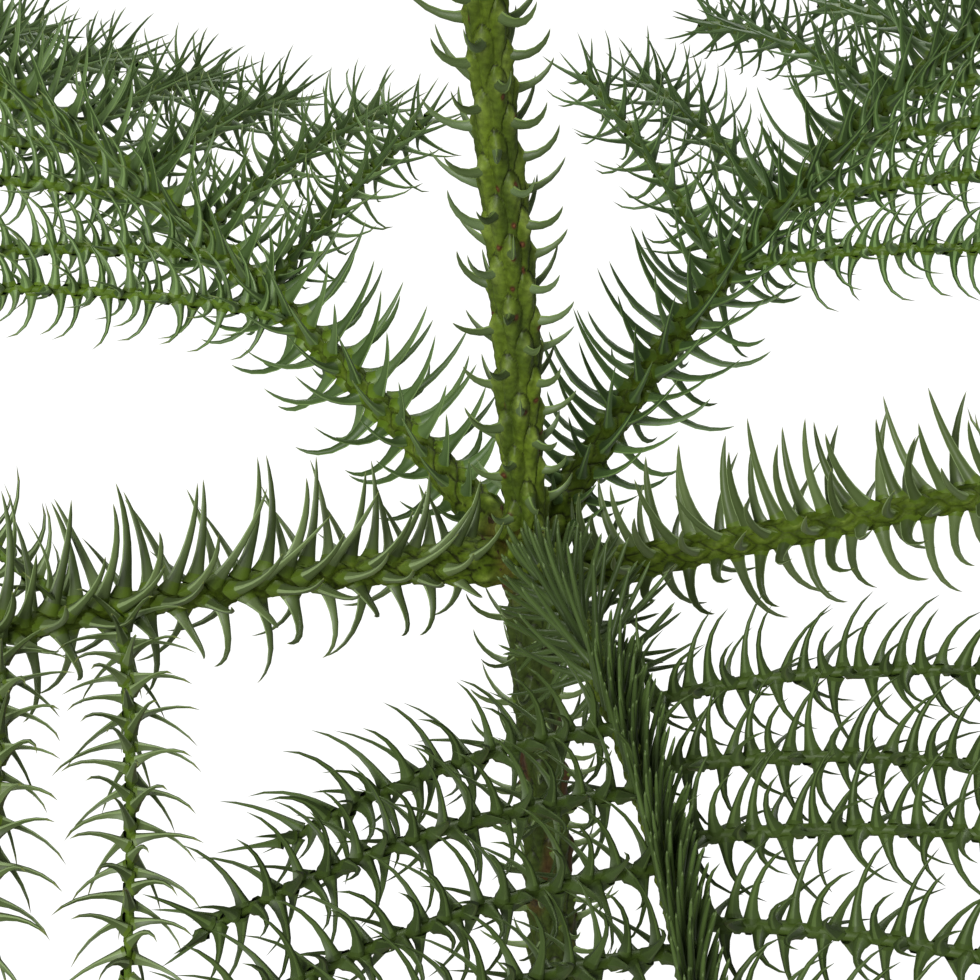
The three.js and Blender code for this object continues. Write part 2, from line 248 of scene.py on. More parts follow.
class TrunkLimb:
    """The trunk's centre line with the same readings as a limb. Its across and over are +X and +Y.

    Seen from the front it bows to the right, most of all 40 mm above the lowest tier and once more right above
    the boughs' feet, and it stands to the right along a slim stretch under the tier.
    """

    # Heights above the foot, and over how many millimetres each bow and the neck die away.
    BOW, BOW_REACH = 238, 28
    KINK, KINK_REACH = 206, 9
    NECK, NECK_REACH = 207, 8

    def __init__(self, form: TrunkForm) -> None:
        """Keeps the trunk's form and length."""
        self.form = form
        self.length = form.top

    def at(self, s: Numbers) -> np.ndarray:
        """Points on the line.

        Args:
            s: heights above the foot.

        Returns:
            The points.
        """
        centre = self.form.centre(s)
        s = np.asarray(s, float)
        bows = 1.2 * bell(s - self.BOW, self.BOW_REACH) + 0.6 * bell(s - self.KINK, self.KINK_REACH)
        centre[..., 0] += bows + 0.8 * self.slim_stretch(s)
        return centre

    def slim_stretch(self, s: Numbers) -> Numbers:
        """Nearness to the slim stretch, which ends just under the boughs' feet, from 0 to 1."""
        return ramp(s, 194, 186) * ramp(s, 30, 90)

    def shrink(self, s: Numbers) -> Numbers:
        """Millimetres by which the trunk is thinner than its form at the neck and the slim stretch."""
        neck = 0.6 * bell(s - self.NECK, self.NECK_REACH)
        return neck - 0.2 * ramp(s, 222, 232) + 0.6 * self.slim_stretch(s)

    def axes(self, s: Numbers) -> Triple:
        """Unit vectors along the trunk, and level along +X and +Y.

        Args:
            s: heights above the foot.

        Returns:
            The three arrays of vectors.
        """
        s = np.asarray(s, float)
        along = unit(self.form.centre(s + 0.5) - self.form.centre(s - 0.5))
        across = np.broadcast_to(np.array([1.0, 0, 0]), along.shape)
        return along, across, np.broadcast_to(np.array([0, 1.0, 0]), along.shape)


@dataclass(frozen=True)
class Bough:
    """One bough, bare of side shoots at first. It leaves the trunk `drop` below its tier's height.

    Those on its left come `pitch` apart, and those on its right follow by a share of it, `stagger`. `left` and
    `right` tell how they differ from the rule, row by row, the last for all that follow: degrees more open,
    degrees lifted, and share of the length. They keep between two upright planes through the trunk, whose
    headings `sector` gives, the left one first. `sink` lowers the foot by its first number, less and less towards
    the tip, over a reach that is its second.
    """

    key: str
    azimuth: float
    rise: float
    arch: float
    sweep: float
    length: float
    bare: float
    drop: float
    pitch: float
    sector: tuple[float, ...]
    stagger: float = 0.36
    left: tuple[tuple[float, float, float], ...] = ((0, 0, 1),)
    right: tuple[tuple[float, float, float], ...] = ((0, 0, 1),)
    sink: tuple[float, float] = (0.0, 1.0)


@dataclass(frozen=True)
class Tier:
    """Boughs that leave the trunk at one height."""

    name: str
    number: int
    height: float
    boughs: tuple[Bough, ...]


LOWEST_TIER = Tier("first", 0, 197.0, (
    Bough("front", -76.5, 22.0, 27.0, -16.0, 215.0, 66.5, -1.0, 17.0, (-40, -112), 0.3,
          ((7, 9, 1), (7, 3, 1), (6, 5, 1), (2, 1, 1)), ((0, -1, 1.25), (0, 3, 1.05), (0, 3, 1))),
    Bough("right", -2.0, 16.5, 14.0, 4.0, 215.0, 74.0, 5.0, 18.5, (29, -40), sink=(2.3, 75.0)),
    Bough("right_back", 62.5, 17.0, 25.0, -14.0, 212.0, 68.0, 4.0, 18.5, (94, 29), 0.08,
          ((-6, 3, 0.97), (-6, -10, 0.9), (0, 0, 0), (3, -21, 1.1), (0, -22, 1)),
          ((-1, 1, 1), (-4, 3, 1), (-2, 4, 1))),
    Bough("left_back", 128.5, 16.5, 27.0, 2.0, 215.0, 59.5, 2.0, 18.0, (169, 94), 0.4,
          ((-4, 2, 1), (-1, -2, 1), (-3, 3, 1)), ((1.5, -5, 1.15), (3, -15, 0.97), (0, -20, 0.97), (0, -24, 1))),
    Bough("left", 209.0, 18.0, 25.0, 3.0, 215.0, 67.0, 1.0, 18.5, (248, 169), 0.36,
          ((2, -14, 1.1), (2, -10, 1), (0, -6, 1)), ((0, 2, 1),), (1.0, 220.0)),
))


def upper_tier(name: str, number: int, height: float, pitch: float, azimuth: float, rise: float, arch: float,
               length: float, bare: float) -> Tier:
    """Five boughs of an upper tier, evenly round the trunk with a little seeded unevenness.

    Args:
        name: the tier's name.
        number: its place above the lowest.
        height: height above the trunk's foot.
        pitch: spacing of side shoots on each side.
        azimuth: heading of the first bough.
        rise: climb of the boughs at their roots.
        arch: climb that they lose.
        length: their length.
        bare: their stretch without side shoots.

    Returns:
        The tier.
    """
    rng = Seeded(900 + 7 * number)
    boughs = []
    for k in range(BOUGHS_IN_TIER):
        turned = azimuth + 360 * k / BOUGHS_IN_TIER + rng.spread(5)
        climb = rise + rng.spread(3)
        sweep = rng.spread(6)
        reach = length * (1 + rng.spread(0.05))
        boughs.append(Bough(str(k + 1), turned, climb, arch, sweep, reach, bare, rng.spread(2), pitch, ()))
    return Tier(name, number, height, tuple(boughs))


# Height, spacing of side shoots, first heading, climb, climb lost, length and bare stretch, tier by tier.
TIERS = (
    LOWEST_TIER,
    upper_tier("second", 1, 337.0, 18.0, 20.0, 28.0, 24.0, 172.0, 46.0),
    upper_tier("third", 2, 457.0, 18.0, 52.0, 32.0, 24.0, 132.0, 34.0),
    upper_tier("fourth", 3, 557.0, 17.0, 12.0, 37.0, 22.0, 92.0, 25.0),
)


@dataclass(frozen=True)
class Growth:
    """The rule by which side shoots grow from a bough.

    A side shoot opens from its bough by `open` degrees, less towards the tip by `close`, and starts off `lift`
    above it. It loses `sag` of that climb and turns by `sweep` along its length. The longest is `reach` of its
    bough. Each has seeded unevenness in these: `open_play`, `lift_play` and `length_play`. It keeps `sector` clear
    of its bough's planes, none is shorter than `shortest`, no row starts on the bough's `last` millimetres, and no
    side shoot on its `end_gap`. A bough's half width is `root_share` of the trunk's at first, `end_share` of that
    where its side shoots start, and `tip` at its end.
    """

    trunk: TrunkForm = TrunkForm()
    open: float = 68.0
    close: float = 14.0
    lift: float = 13.0
    sag: float = 23.0
    sweep: float = 8.0
    reach: float = 0.34
    sector: float = 4.0
    shortest: float = 11.0
    last: float = 12.0
    end_gap: float = 4.0
    open_play: float = 1.6
    lift_play: float = 2.0
    length_play: float = 0.08
    root_share: float = 0.46
    end_share: float = 0.72
    tip: float = 0.5

    def limb(self, tier: Tier, bough: Bough) -> Limb:
        """Centre line of a bough from the trunk's centre to its tip.

        Args:
            tier: the bough's tier.
            bough: the bough.

        Returns:
            The line.
        """
        start = self.trunk.centre(tier.height - bough.drop)
        limb = Limb(start, bough.azimuth, bough.rise, bough.arch, bough.sweep, bough.length)
        depth, reach = bough.sink
        limb.points[:, 2] -= depth * bell(np.linspace(0, bough.length, len(limb.points)), reach)
        return limb

    def radius(self, tier: Tier, bough: Bough, s: Numbers) -> Numbers:
        """Half width of a bough's wood, tapering over the bare stretch and then to a fine tip.

        Args:
            tier: the bough's tier.
            bough: the bough.
            s: distances from the trunk's centre.

        Returns:
            Radii in millimetres.
        """
        root = self.root_share * float(self.trunk.radius(tier.height))
        bare = 1 - (1 - self.end_share) * np.minimum(1, s / bough.bare)
        spray = ramp(s, bough.bare, bough.length)
        return root * bare * (1 - spray) + self.tip * spray

    def sector_sides(self, tier: Tier, index: int) -> list[np.ndarray]:
        """Outward normals of a bough's two upright planes, midway to its neighbours unless the bough names them.

        Args:
            tier: the tier.
            index: which of its boughs.

        Returns:
            Two unit vectors.
        """
        middles = [b.azimuth + b.sweep * 0.25 for b in tier.boughs]
        own = middles[index]
        gaps = [(m - own) % 360 for i, m in enumerate(middles) if i != index]
        midway = (own + min(gaps) / 2, own - (360 - max(gaps)) / 2)
        left, right = tier.boughs[index].sector or midway
        return [heading(left + 90, 0), heading(right - 90, 0)]

    def room(self, start: np.ndarray, direction: np.ndarray, centre: np.ndarray,
             sides: list[np.ndarray]) -> float:
        """How far a side shoot may grow before it nears its bough's sector planes.

        Args:
            start: root of the side shoot.
            direction: its level heading.
            centre: the trunk's centre at the tier.
            sides: outward normals of the planes.

        Returns:
            The length, 0 where there is none.
        """
        room = math.inf
        for outside in sides:
            inward = -float(outside @ (start - centre)) - self.sector
            closing = float(outside @ direction)
            if inward <= 0:
                return 0.0
            if closing > 0.02:
                room = min(room, inward / closing)
        return room

    @staticmethod
    def outline(u: float) -> float:
        """Length of the side shoots along the spray, 0 to 1, as a share of the longest."""
        return min(0.82 + 0.5 * u, 1, 1.25 * (1 - u) + 0.16)

    def side_shoots(self, tier: Tier, index: int) -> list[Limb]:
        """Side shoots of one bough, in pairs a little apart.

        Args:
            tier: the tier.
            index: which of its boughs.

        Returns:
            Their centre lines.
        """
        bough = tier.boughs[index]
        rng = Seeded(1000 + 50 * tier.number + index)
        limb, sides = self.limb(tier, bough), self.sector_sides(tier, index)
        centre = self.trunk.centre(tier.height)
        shoots = []
        row = 0
        while bough.bare + bough.pitch * row < bough.length - self.last:
            for side in (1, -1):
                s = bough.bare + bough.pitch * (row + (0 if side > 0 else bough.stagger))
                u = min(1.0, (s - bough.bare) / (bough.length - bough.bare))
                habits = bough.left if side > 0 else bough.right
                turned, raised, share = habits[min(row, len(habits) - 1)]
                along, across, _ = limb.axes(s)
                opened = math.radians(self.open - self.close * u + turned + rng.spread(self.open_play))
                lift = self.lift + raised + rng.spread(self.lift_play)
                longest = self.reach * bough.length
                wanted = longest * self.outline(u) * share * (1 + rng.spread(self.length_play))
                way = along * math.cos(opened) + across * side * math.sin(opened)
                flat = unit(way * np.array([1, 1, 0]))
                length = min(wanted, self.room(limb.at(s), flat, centre, sides))
                if length < self.shortest or s > bough.length - self.end_gap:
                    continue
                azimuth = math.degrees(math.atan2(way[1], way[0]))
                rise = math.degrees(math.asin(way[2])) + lift
                shoots.append(Limb(limb.at(s), azimuth, rise, self.sag, -side * self.sweep, length))
            row += 1
        return shoots


# ---------------------------------------------------------------------------------------------------------
# Meshes
# ---------------------------------------------------------------------------------------------------------
@dataclass
class Surface:
    """Triangles of one piece, gathered part by part."""

    points: list[np.ndarray] = field(default_factory=list)
    faces: list[np.ndarray] = field(default_factory=list)
    finishes: list[np.ndarray] = field(default_factory=list)
    ridges: list[np.ndarray] = field(default_factory=list)
    tones: list[np.ndarray] = field(default_factory=list)
    count: int = 0

    def add(self, points: np.ndarray, faces: np.ndarray, finishes: int | np.ndarray = 0,
            ridges: np.ndarray | None = None, tones: np.ndarray | None = None) -> None:
        """Adds a part.

        Args:
            points: its corners.
            faces: its triangles, counted from its own first corner.
            finishes: material number of each face, or one for all.
            ridges: a number for each corner. An edge between equal numbers above -1 stays sharp.
            tones: linear red, green and blue of each corner, where the piece is coloured by corner.
        """
        points = np.asarray(points, float).reshape(-1, 3)
        faces = np.asarray(faces, np.int64).reshape(-1, 3)
        ridges = np.full(len(points), -1) if ridges is None else np.asarray(ridges).ravel()
        self.points.append(points)
        self.faces.append(faces + self.count)
        self.finishes.append(np.broadcast_to(np.asarray(finishes, np.int32), len(faces)))
        self.ridges.append(np.where(ridges < 0, -1, ridges + self.count))
        self.tones.append(np.zeros((len(points), 3)) if tones is None else np.asarray(tones).reshape(-1, 3))
        self.count += len(points)

    def piece(self, name: str, materials: list[bpy.types.Material], slot: Slot, nodes: list[str],
              toned: bool = False) -> None:
        """Makes the Blender object and ties it to the part.

        Args:
            name: the object's name.
            materials: its materials, in the order of the finish numbers.
            slot: slot of the record; not used.
            nodes: solids that it stands for.
            toned: keeps the corners' colours as the attribute "bark".
        """
        points, faces = np.concatenate(self.points) * MM, np.concatenate(self.faces)
        mesh = bpy.data.meshes.new(name)
        mesh.vertices.add(len(points))
        mesh.vertices.foreach_set("co", points.ravel())
        mesh.loops.add(faces.size)
        mesh.loops.foreach_set("vertex_index", faces.ravel().astype(np.int32))
        mesh.polygons.add(len(faces))
        mesh.polygons.foreach_set("loop_start", np.arange(0, faces.size, 3, dtype=np.int32))
        mesh.polygons.foreach_set("material_index", np.concatenate(self.finishes).astype(np.int32))
        mesh.polygons.foreach_set("use_smooth", np.ones(len(faces), bool))
        mesh.update(calc_edges=True)
        self._keep_ridges(mesh)
        if toned:
            rgba = np.ones((len(points), 4), np.float32)
            rgba[:, :3] = np.concatenate(self.tones)
            mesh.attributes.new("bark", "FLOAT_COLOR", "POINT").data.foreach_set("color", rgba.ravel())
        for material in materials:
            mesh.materials.append(material)
        made = bpy.data.objects.new(name, mesh)
        bpy.context.scene.collection.objects.link(made)
        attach(made, "root")
        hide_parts(*nodes)
        LOG.info("%s: %d triangles", name, len(faces))

    def _keep_ridges(self, mesh: bpy.types.Mesh) -> None:
        """Marks the edges that run along a ridge as sharp.

        Args:
            mesh: the new mesh.
        """
        ridges = np.concatenate(self.ridges)
        if (ridges < 0).all():
            return
        ends = np.empty(len(mesh.edges) * 2, np.int32)
        mesh.edges.foreach_get("vertices", ends)
        a, b = ridges[ends[::2]], ridges[ends[1::2]]
        mesh.attributes.new("sharp_edge", "BOOLEAN", "EDGE").data.foreach_set("value", (a == b) & (a >= 0))


def grid_faces(rows: int, columns: int) -> np.ndarray:
    """Triangles of a grid that closes on itself along its rows.

    Args:
        rows: number of rings.
        columns: corners in each ring.

    Returns:
        Array of triangles.
    """
    i, k = np.meshgrid(np.arange(rows - 1), np.arange(columns), indexing="ij")
    a, b = i * columns + k, i * columns + (k + 1) % columns
    c, d = b + columns, a + columns
    return np.concatenate([np.stack([a, b, c], -1).reshape(-1, 3), np.stack([a, c, d], -1).reshape(-1, 3)])


def capped_faces(rows: int, columns: int) -> np.ndarray:
    """Triangles of a tube whose ends are closed by fans over two last corners.

    Args:
        rows: number of rings.
        columns: corners in each ring.

    Returns:
        Array of triangles.
    """
    k, corners = np.arange(columns), rows * columns
    after = np.roll(k, -1)
    first = np.stack([after, k, np.full(columns, corners)], -1)
    last = np.stack([corners - columns + k, corners - columns + after, np.full(columns, corners + 1)], -1)
    return np.concatenate([grid_faces(rows, columns), first, last])


def capped_tube(rings: np.ndarray,
                tones: np.ndarray | None = None) -> tuple[np.ndarray, np.ndarray, np.ndarray | None]:
    """Closed tube over rings of points, with a point at the middle of each end.

    Args:
        rings: array of rings, corners and x, y, z.
        tones: colour of each ring corner, if any.

    Returns:
        Points, triangles and colours.
    """
    ends = np.stack([rings[0].mean(0), rings[-1].mean(0)])
    points = np.concatenate([rings.reshape(-1, 3), ends])
    if tones is not None:
        tones = np.concatenate([tones.reshape(-1, 3), tones[0].mean(0)[None], tones[-1].mean(0)[None]])
    return points, capped_faces(*rings.shape[:2]), tones


# ---------------------------------------------------------------------------------------------------------
# Needles
# ---------------------------------------------------------------------------------------------------------
# Unevenness from needle to needle: spacing as a share, turn in radians, stance and curl in degrees, length and
# width as shares.
SPACING_PLAY, TURN_PLAY, STANCE_PLAY, CURL_PLAY, LENGTH_PLAY, WIDTH_PLAY = 0.12, 0.05, 6, 9, 0.07, 0.06
# Shares by which stance, curl and length are less at a shoot's tip, and by which needles on top are longer.
TIP_STANCE, TIP_CURL, TIP_LENGTH, TOP_LENGTH = 0.55, 0.75, 0.3, 0.08
# How much more the needles gather at a shoot's foot, and over how many millimetres that fades.
FOOT_GATHER, FOOT_REACH = 1.6, 22
# Needles start at this share of the shoot's half width, inside its leaf bases.
ROOT_DEPTH = 0.72
# A needle's foot has a finish of its own, and ends before this share of its length.
FOOT_SHARE = 0.11
# Needles on side shoots stop so many millimetres before the tip.
END_GAP = 0.3
# How the half width falls along a needle, by share of its length.
TAPER = ((0, 0.25, 0.5, 0.8, 0.93, 1), (1, 1, 0.86, 0.52, 0.25, 0))


class Section(Enum):
    """Cross-sections of a needle: (wide, narrow) shares of its half widths, which sides are margins, and which
    corners stay sharp."""

    RIDGED = (((1, 0), (0.84, 0.3), (0.3, 0.9), (-0.3, 0.9), (-0.84, 0.3),
               (-1, 0), (-0.84, -0.3), (-0.3, -0.9), (0.3, -0.9), (0.84, -0.3)),
              (1, 0, 0, 0, 1, 1, 0, 0, 0, 1), (1, 0, 0, 0, 0, 1, 0, 0, 0, 0))
    EDGED = (((1, 0), (0.3, 0.9), (-0.3, 0.9), (-1, 0), (-0.3, -0.9), (0.3, -0.9)), (0, 1, 0, 0, 1, 0),
             (1, 0, 0, 1, 0, 0))
    SOFT = (((1, 0), (0.7, 0.62), (0, 0.9), (-0.7, 0.62), (-1, 0), (-0.7, -0.62), (0, -0.9), (0.7, -0.62)),
            (0,) * 8, (0,) * 8)
    PLAIN = (((1, 0), (0, 1), (-1, 0), (0, -1)), (0, 0, 0, 0), (1, 0, 1, 0))


@dataclass(frozen=True)
class NeedleForm:
    """Size and stance of the needles of one kind of shoot.

    A needle leaves its shoot at `stance` degrees from the shoot's tip, more on the upper side by `upper`, and
    turns towards the tip by `curl`, more on the under side by `under`, early along it or `late`, and later still
    on the under side by `hook`. `rising` carries it towards the light, with `flank` more at the shoot's two sides,
    and `gather` turns its root upwards, most near the shoot's foot. `crowding` above 1 sets needles closer there.
    `flare` is how many times wider the root is than the blade, for a share of the length, `skirt`. `blunt` below 1
    keeps the blade wide for longer. The shoot's first `bald` millimetres carry no needles, and `upright` turns the
    needles' roots further up without moving them. Needles grow from `shortest` of their length at the first of
    them to all of it over `short_root` millimetres, and lie closer to the shoot and shorter over its last `tuft`.
    `section` is their cross-section, and `shares` are the places of the rings along them.
    """

    spacing: float
    length: float
    wide: float
    narrow: float
    stance: float = 96.0
    upper: float = 13.0
    curl: float = 48.0
    under: float = 20.0
    late: float = 1.3
    hook: float = 1.2
    rising: float = 0.12
    flank: float = 0.3
    flare: float = 2.3
    skirt: float = 0.1
    blunt: float = 1.0
    gather: float = 0.2
    crowding: float = 1.0
    section: Section = Section.EDGED
    shares: tuple[float, ...] = (0, 0.12, 0.32, 0.54, 0.76, 0.92, 1)
    short_root: float = 0.0
    shortest: float = 0.62
    tuft: float = 9.0
    bald: float = 1.2
    upright: float = 0.0


@dataclass(frozen=True)
class Taper:
    """Half width of a side shoot, which loses a share evenly from root to tip."""

    root: float
    loss: float
    length: float

    def __call__(self, s: Numbers) -> Numbers:
        """Half width at distances from the root."""
        return self.root * (1 - self.loss * np.clip(s / self.length, 0, 1))


@dataclass
class Sites:
    """Where needles stand on one shoot: distance along it, angle round it, and where they point."""

    s: np.ndarray
    turn: np.ndarray
    roots: np.ndarray
    along: np.ndarray
    outward: np.ndarray
    tip_gap: np.ndarray

    def between(self, low: float, high: float) -> "Sites":
        """Picks the sites between two distances along the shoot."""
        keep = (self.s > low) & (self.s < high)
        return Sites(*(value[keep] for value in vars(self).values()))


def needle_sites(limb: Limb | TrunkLimb, s0: float, s1: float, form: NeedleForm, radius_at: HalfWidth,
                 phase: float, rng: np.random.Generator) -> Sites:
    """Spiral of needle roots round a shoot, each turned from the last by the golden angle.

    Args:
        limb: the shoot's centre line.
        s0: first distance along it.
        s1: last distance.
        form: the needles.
        radius_at: half width of the shoot at given distances.
        phase: angle of the first needle.
        rng: numpy generator for small unevenness.

    Returns:
        The sites.
    """
    count = max(2, int((s1 - s0) / form.spacing))
    s = s0 + (s1 - s0) * ((np.arange(count) + 0.5) / count) ** form.crowding
    s = np.sort(s + rng.normal(0, SPACING_PLAY * form.spacing, count))
    turn = np.radians(phase + GOLDEN_ANGLE * np.arange(count)) + rng.normal(0, TURN_PLAY, count)
    along, across, over = limb.axes(s)
    outward = across * np.cos(turn)[:, None] + over * np.sin(turn)[:, None]
    roots = limb.at(s) + outward * (radius_at(s) * ROOT_DEPTH)[:, None]
    gathered = form.gather * (1 + FOOT_GATHER * np.exp(-(s - s0) / FOOT_REACH))
    outward = unit(outward + over * gathered[:, None])
    return Sites(s, turn, roots, along, outward, limb.length - s)


def needle_lines(sites: Sites, form: NeedleForm, rng: np.random.Generator) -> Triple:
    """Middle lines of needles, all worked out at once.

    Each line leaves along cos(a) * shoot + sin(a) * outward, where a falls from the stance at its root to the
    stance less the curl at its tip, and the light's pull is added in step with the distance.

    Args:
        sites: the needles' roots.
        form: their size and stance.
        rng: numpy generator.

    Returns:
        Points on each line, unit vectors square to it in the plane in which it curves, and across that plane.
    """
    count = len(sites.s)
    shares = np.asarray(form.shares)
    outward = unit(sites.outward + np.array([0, 0, form.upright]))
    up = outward[:, 2]
    near_tip = np.clip(1 - sites.tip_gap / form.tuft, 0, 1)
    stance = np.radians(form.stance + form.upper * up + rng.normal(0, STANCE_PLAY, count))
    stance = stance * (1 - TIP_STANCE * near_tip)
    curl = np.radians(form.curl - form.under * up + rng.normal(0, CURL_PLAY, count)) * (1 - TIP_CURL * near_tip)
    length = form.length * rng.normal(1, LENGTH_PLAY, count) * (1 - TIP_LENGTH * near_tip) * (1 + TOP_LENGTH * up)
    if form.short_root:
        grown = np.clip((sites.s - sites.s[0]) / form.short_root, 0, 1)
        length = length * (form.shortest + (1 - form.shortest) * grown)
    middle = (shares[1:] + shares[:-1]) / 2
    late = form.late + form.hook * np.clip(-up, 0, 1)
    angle = stance[:, None] - curl[:, None] * middle[None, :] ** late[:, None]
    step = np.cos(angle)[..., None] * sites.along[:, None, :] + np.sin(angle)[..., None] * outward[:, None, :]
    step[..., 2] += (form.rising + form.flank * (1 - up**2))[:, None] * 2 * middle
    step = unit(step) * (length[:, None] * np.diff(shares)[None, :])[..., None]
    line = np.concatenate([np.zeros((count, 1, 3)), np.cumsum(step, 1)], 1) + sites.roots[:, None, :]
    across = unit(np.cross(sites.along, outward))[:, None, :]
    ahead = np.concatenate([step[:, :1], (step[:, 1:] + step[:, :-1]), step[:, -1:]], 1)
    return line, unit(np.cross(across, unit(ahead))), across


def needle_faces(form: NeedleForm, greens: int) -> Triple:
    """Triangles of one needle, a tube of rings that a cone closes at the tip.

    Args:
        form: its section and the shares of its rings.
        greens: number of greens, whose finishes come before margin, tip and foot.

    Returns:
        The triangles, the finish of each with -1 for the needle's own green, and the ridge of each corner with -1
        for none.
    """
    section, margins, sharp = (np.asarray(part) for part in form.section.value)
    sides, rows = len(section), len(form.shares) - 1
    k, last = np.arange(sides), (rows - 1) * sides
    cone = np.stack([last + k, last + (k + 1) % sides, np.full(sides, rows * sides)], -1)
    strips = np.where(np.tile(margins, rows - 1) > 0, greens, -1)
    foot = max(1, sum(share < FOOT_SHARE for share in form.shares) - 1)
    strips[:sides * foot] = greens + 2
    finishes = np.concatenate([strips, strips, np.full(sides, greens + 1)])
    ridges = np.concatenate([np.tile(np.where(sharp > 0, k, -1), rows), [-1]])
    return np.concatenate([grid_faces(rows, sides), cone]), finishes, ridges


def needles(surface: Surface, sites: Sites, form: NeedleForm, rng: np.random.Generator, greens: int = 3,
            first: int = 0) -> None:
    """Adds curved awl-shaped needles to a surface, whose half width falls from a flared root to nought at the tip.

    Args:
        surface: where they are added. Its finishes are the greens, then margin, tip and foot.
        sites: their roots.
        form: their size and stance.
        rng: numpy generator.
        greens: number of greens that are dealt out.
        first: finish number of the first green.
    """
    count = len(sites.s)
    shares = np.asarray(form.shares)
    section = np.asarray(form.section.value[0])[None, None, :, :, None]
    line, over, across = needle_lines(sites, form, rng)
    taper = np.interp(shares, *TAPER) ** form.blunt
    taper = taper * (1 + (form.flare - 1) * np.exp(-shares / form.skirt))
    size = rng.normal(1, WIDTH_PLAY, count)[:, None] * taper[None, :]
    rings = (line[:, :-1, None, :]
             + (form.wide * size)[:, :-1, None, None] * section[..., 0, :] * over[:, :-1, None, :]
             + (form.narrow * size)[:, :-1, None, None] * section[..., 1, :] * across[:, :, None, :])
    points = np.concatenate([rings.reshape(count, -1, 3), line[:, -1:]], 1)
    faces, finishes, ridges = needle_faces(form, greens)
    green = rng.integers(0, greens, count)
    starts = (np.arange(count) * points.shape[1])[:, None]
    finishes = np.where(finishes[None, :] < 0, green[:, None], finishes[None, :]).ravel() + first
    ridges = np.where(ridges[None, :] < 0, -1, ridges[None, :] + starts)
    surface.add(points, faces[None] + starts[..., None], finishes, ridges)


# ---------------------------------------------------------------------------------------------------------
# Bark
# ---------------------------------------------------------------------------------------------------------
@dataclass(frozen=True)
class BarkForm:
    """Relief of swollen leaf bases: their reach behind and before the needle, their width, how far they stand, how
    far they swell round the needle's root, and how deep the cracks beside their tails are, as a share of those
    round their heads."""

    long: float
    ahead: float
    wide: float
    height: float
    swell: float
    tail: float = 0.35


# In shares of a leaf base's reach: width of the seam between two bases, distance and width of the crack round a
# head, and a distance beyond all of them.
SEAM_WIDTH, CRACK, CRACK_WIDTH, BEYOND = 0.24, 1.14, 0.09, 50.0


def leaf_base_relief(s: np.ndarray, turn: np.ndarray, radius: np.ndarray, sites: Sites, form: BarkForm) -> Triple:
    """Relief of leaf bases that crowd one another on a shoot.

    Each point belongs to the leaf base that is nearest when distance is measured in shares of a base's reach and
    width. A base reaches further behind its needle than before it and narrows behind, so it has a round head and a
    tail. The relief is highest in the middle of a base, falls as the square of the distance and to a seam where two
    bases are equally near, rises to the needle's root, and dips along a crack round the head.

    Args:
        s: distances along the shoot, one for each ring.
        turn: angles round it, one for each corner of a ring.
        radius: half width of each ring.
        sites: the needles' roots.
        form: the relief.

    Returns:
        Height of the relief, nearness to a crack round the head of a base, and nearness to a needle, the last two
        from 0 to 1.
    """
    spacing = float(np.mean(np.diff(sites.s)))
    reach = int(math.ceil(form.long * 1.5 / spacing))
    nearest = np.searchsorted(sites.s, s)
    window = nearest[:, None] + np.arange(-reach, reach + 1)[None, :]
    valid = (window >= 0) & (window < len(sites.s))
    window = np.clip(window, 0, len(sites.s) - 1)
    ds = s[:, None] - sites.s[window]
    dt = (turn[None, :, None] - sites.turn[window][:, None, :] + np.pi) % (2 * np.pi) - np.pi
    around = dt * radius[:, None, None] / form.wide
    far = np.where(valid, 0, BEYOND)[:, None, :]
    before, behind = np.maximum(ds, 0) / form.ahead, np.maximum(-ds, 0) / form.long
    gap = np.hypot((before + behind)[:, None, :], around * (1 + 0.5 * behind[:, None, :])) + far
    two = np.partition(gap, 1, axis=-1)[..., :2]
    seam = 1 - np.clip((two[..., 1] - two[..., 0]) / SEAM_WIDTH, 0, 1)
    body = np.clip(1 - 0.6 * two[..., 0] ** 2, 0, 1)
    own = gap.argmin(-1)
    head = np.clip(form.tail + 2 * np.take_along_axis(before, own, 1), 0, 1)
    to_root = np.hypot((ds / (0.3 * form.long))[:, None, :], 1.6 * around) + far
    root = np.exp(-(to_root.min(-1) ** 2) * 2.2)
    arch = bell(two[..., 0] - CRACK, CRACK_WIDTH) * np.clip(2.5 * np.take_along_axis(before, own, 1), 0, 1)
    relief = form.height * (body * (1 - seam**1.5) - 0.5) + form.swell * root - 0.2 * form.height * arch
    return relief, np.maximum(seam * head, arch), root


def shoot_rings(limb: Limb | TrunkLimb, s: np.ndarray, turn: np.ndarray, radius: np.ndarray) -> np.ndarray:
    """Rings of points round a shoot.

    Args:
        limb: its centre line.
        s: distance of each ring.
        turn: angle of each corner.
        radius: half width at each ring and corner.

    Returns:
        Array of rings, corners and x, y, z.
    """
    _, across, over = limb.axes(s)
    outward = across[:, None, :] * np.cos(turn)[None, :, None] + over[:, None, :] * np.sin(turn)[None, :, None]
    return limb.at(s)[:, None, :] + outward * radius[..., None]


def ripple(points: np.ndarray, scale: float, seed: int) -> np.ndarray:
    """Smooth unevenness, mostly from -1 to 1: the sum of eight plane waves in seeded directions.

    Args:
        points: places in millimetres.
        scale: wavelength in millimetres.
        seed: which pattern.

    Returns:
        One number for each place.
    """
    waves = 8
    rng = np.random.default_rng(seed)
    ways = unit(rng.normal(size=(waves, 3))) * (2 * np.pi / (scale * rng.uniform(0.7, 1.6, waves)))[:, None]
    return np.sin(points @ ways.T + rng.uniform(0, 2 * np.pi, waves)).sum(-1) / (waves / 2)


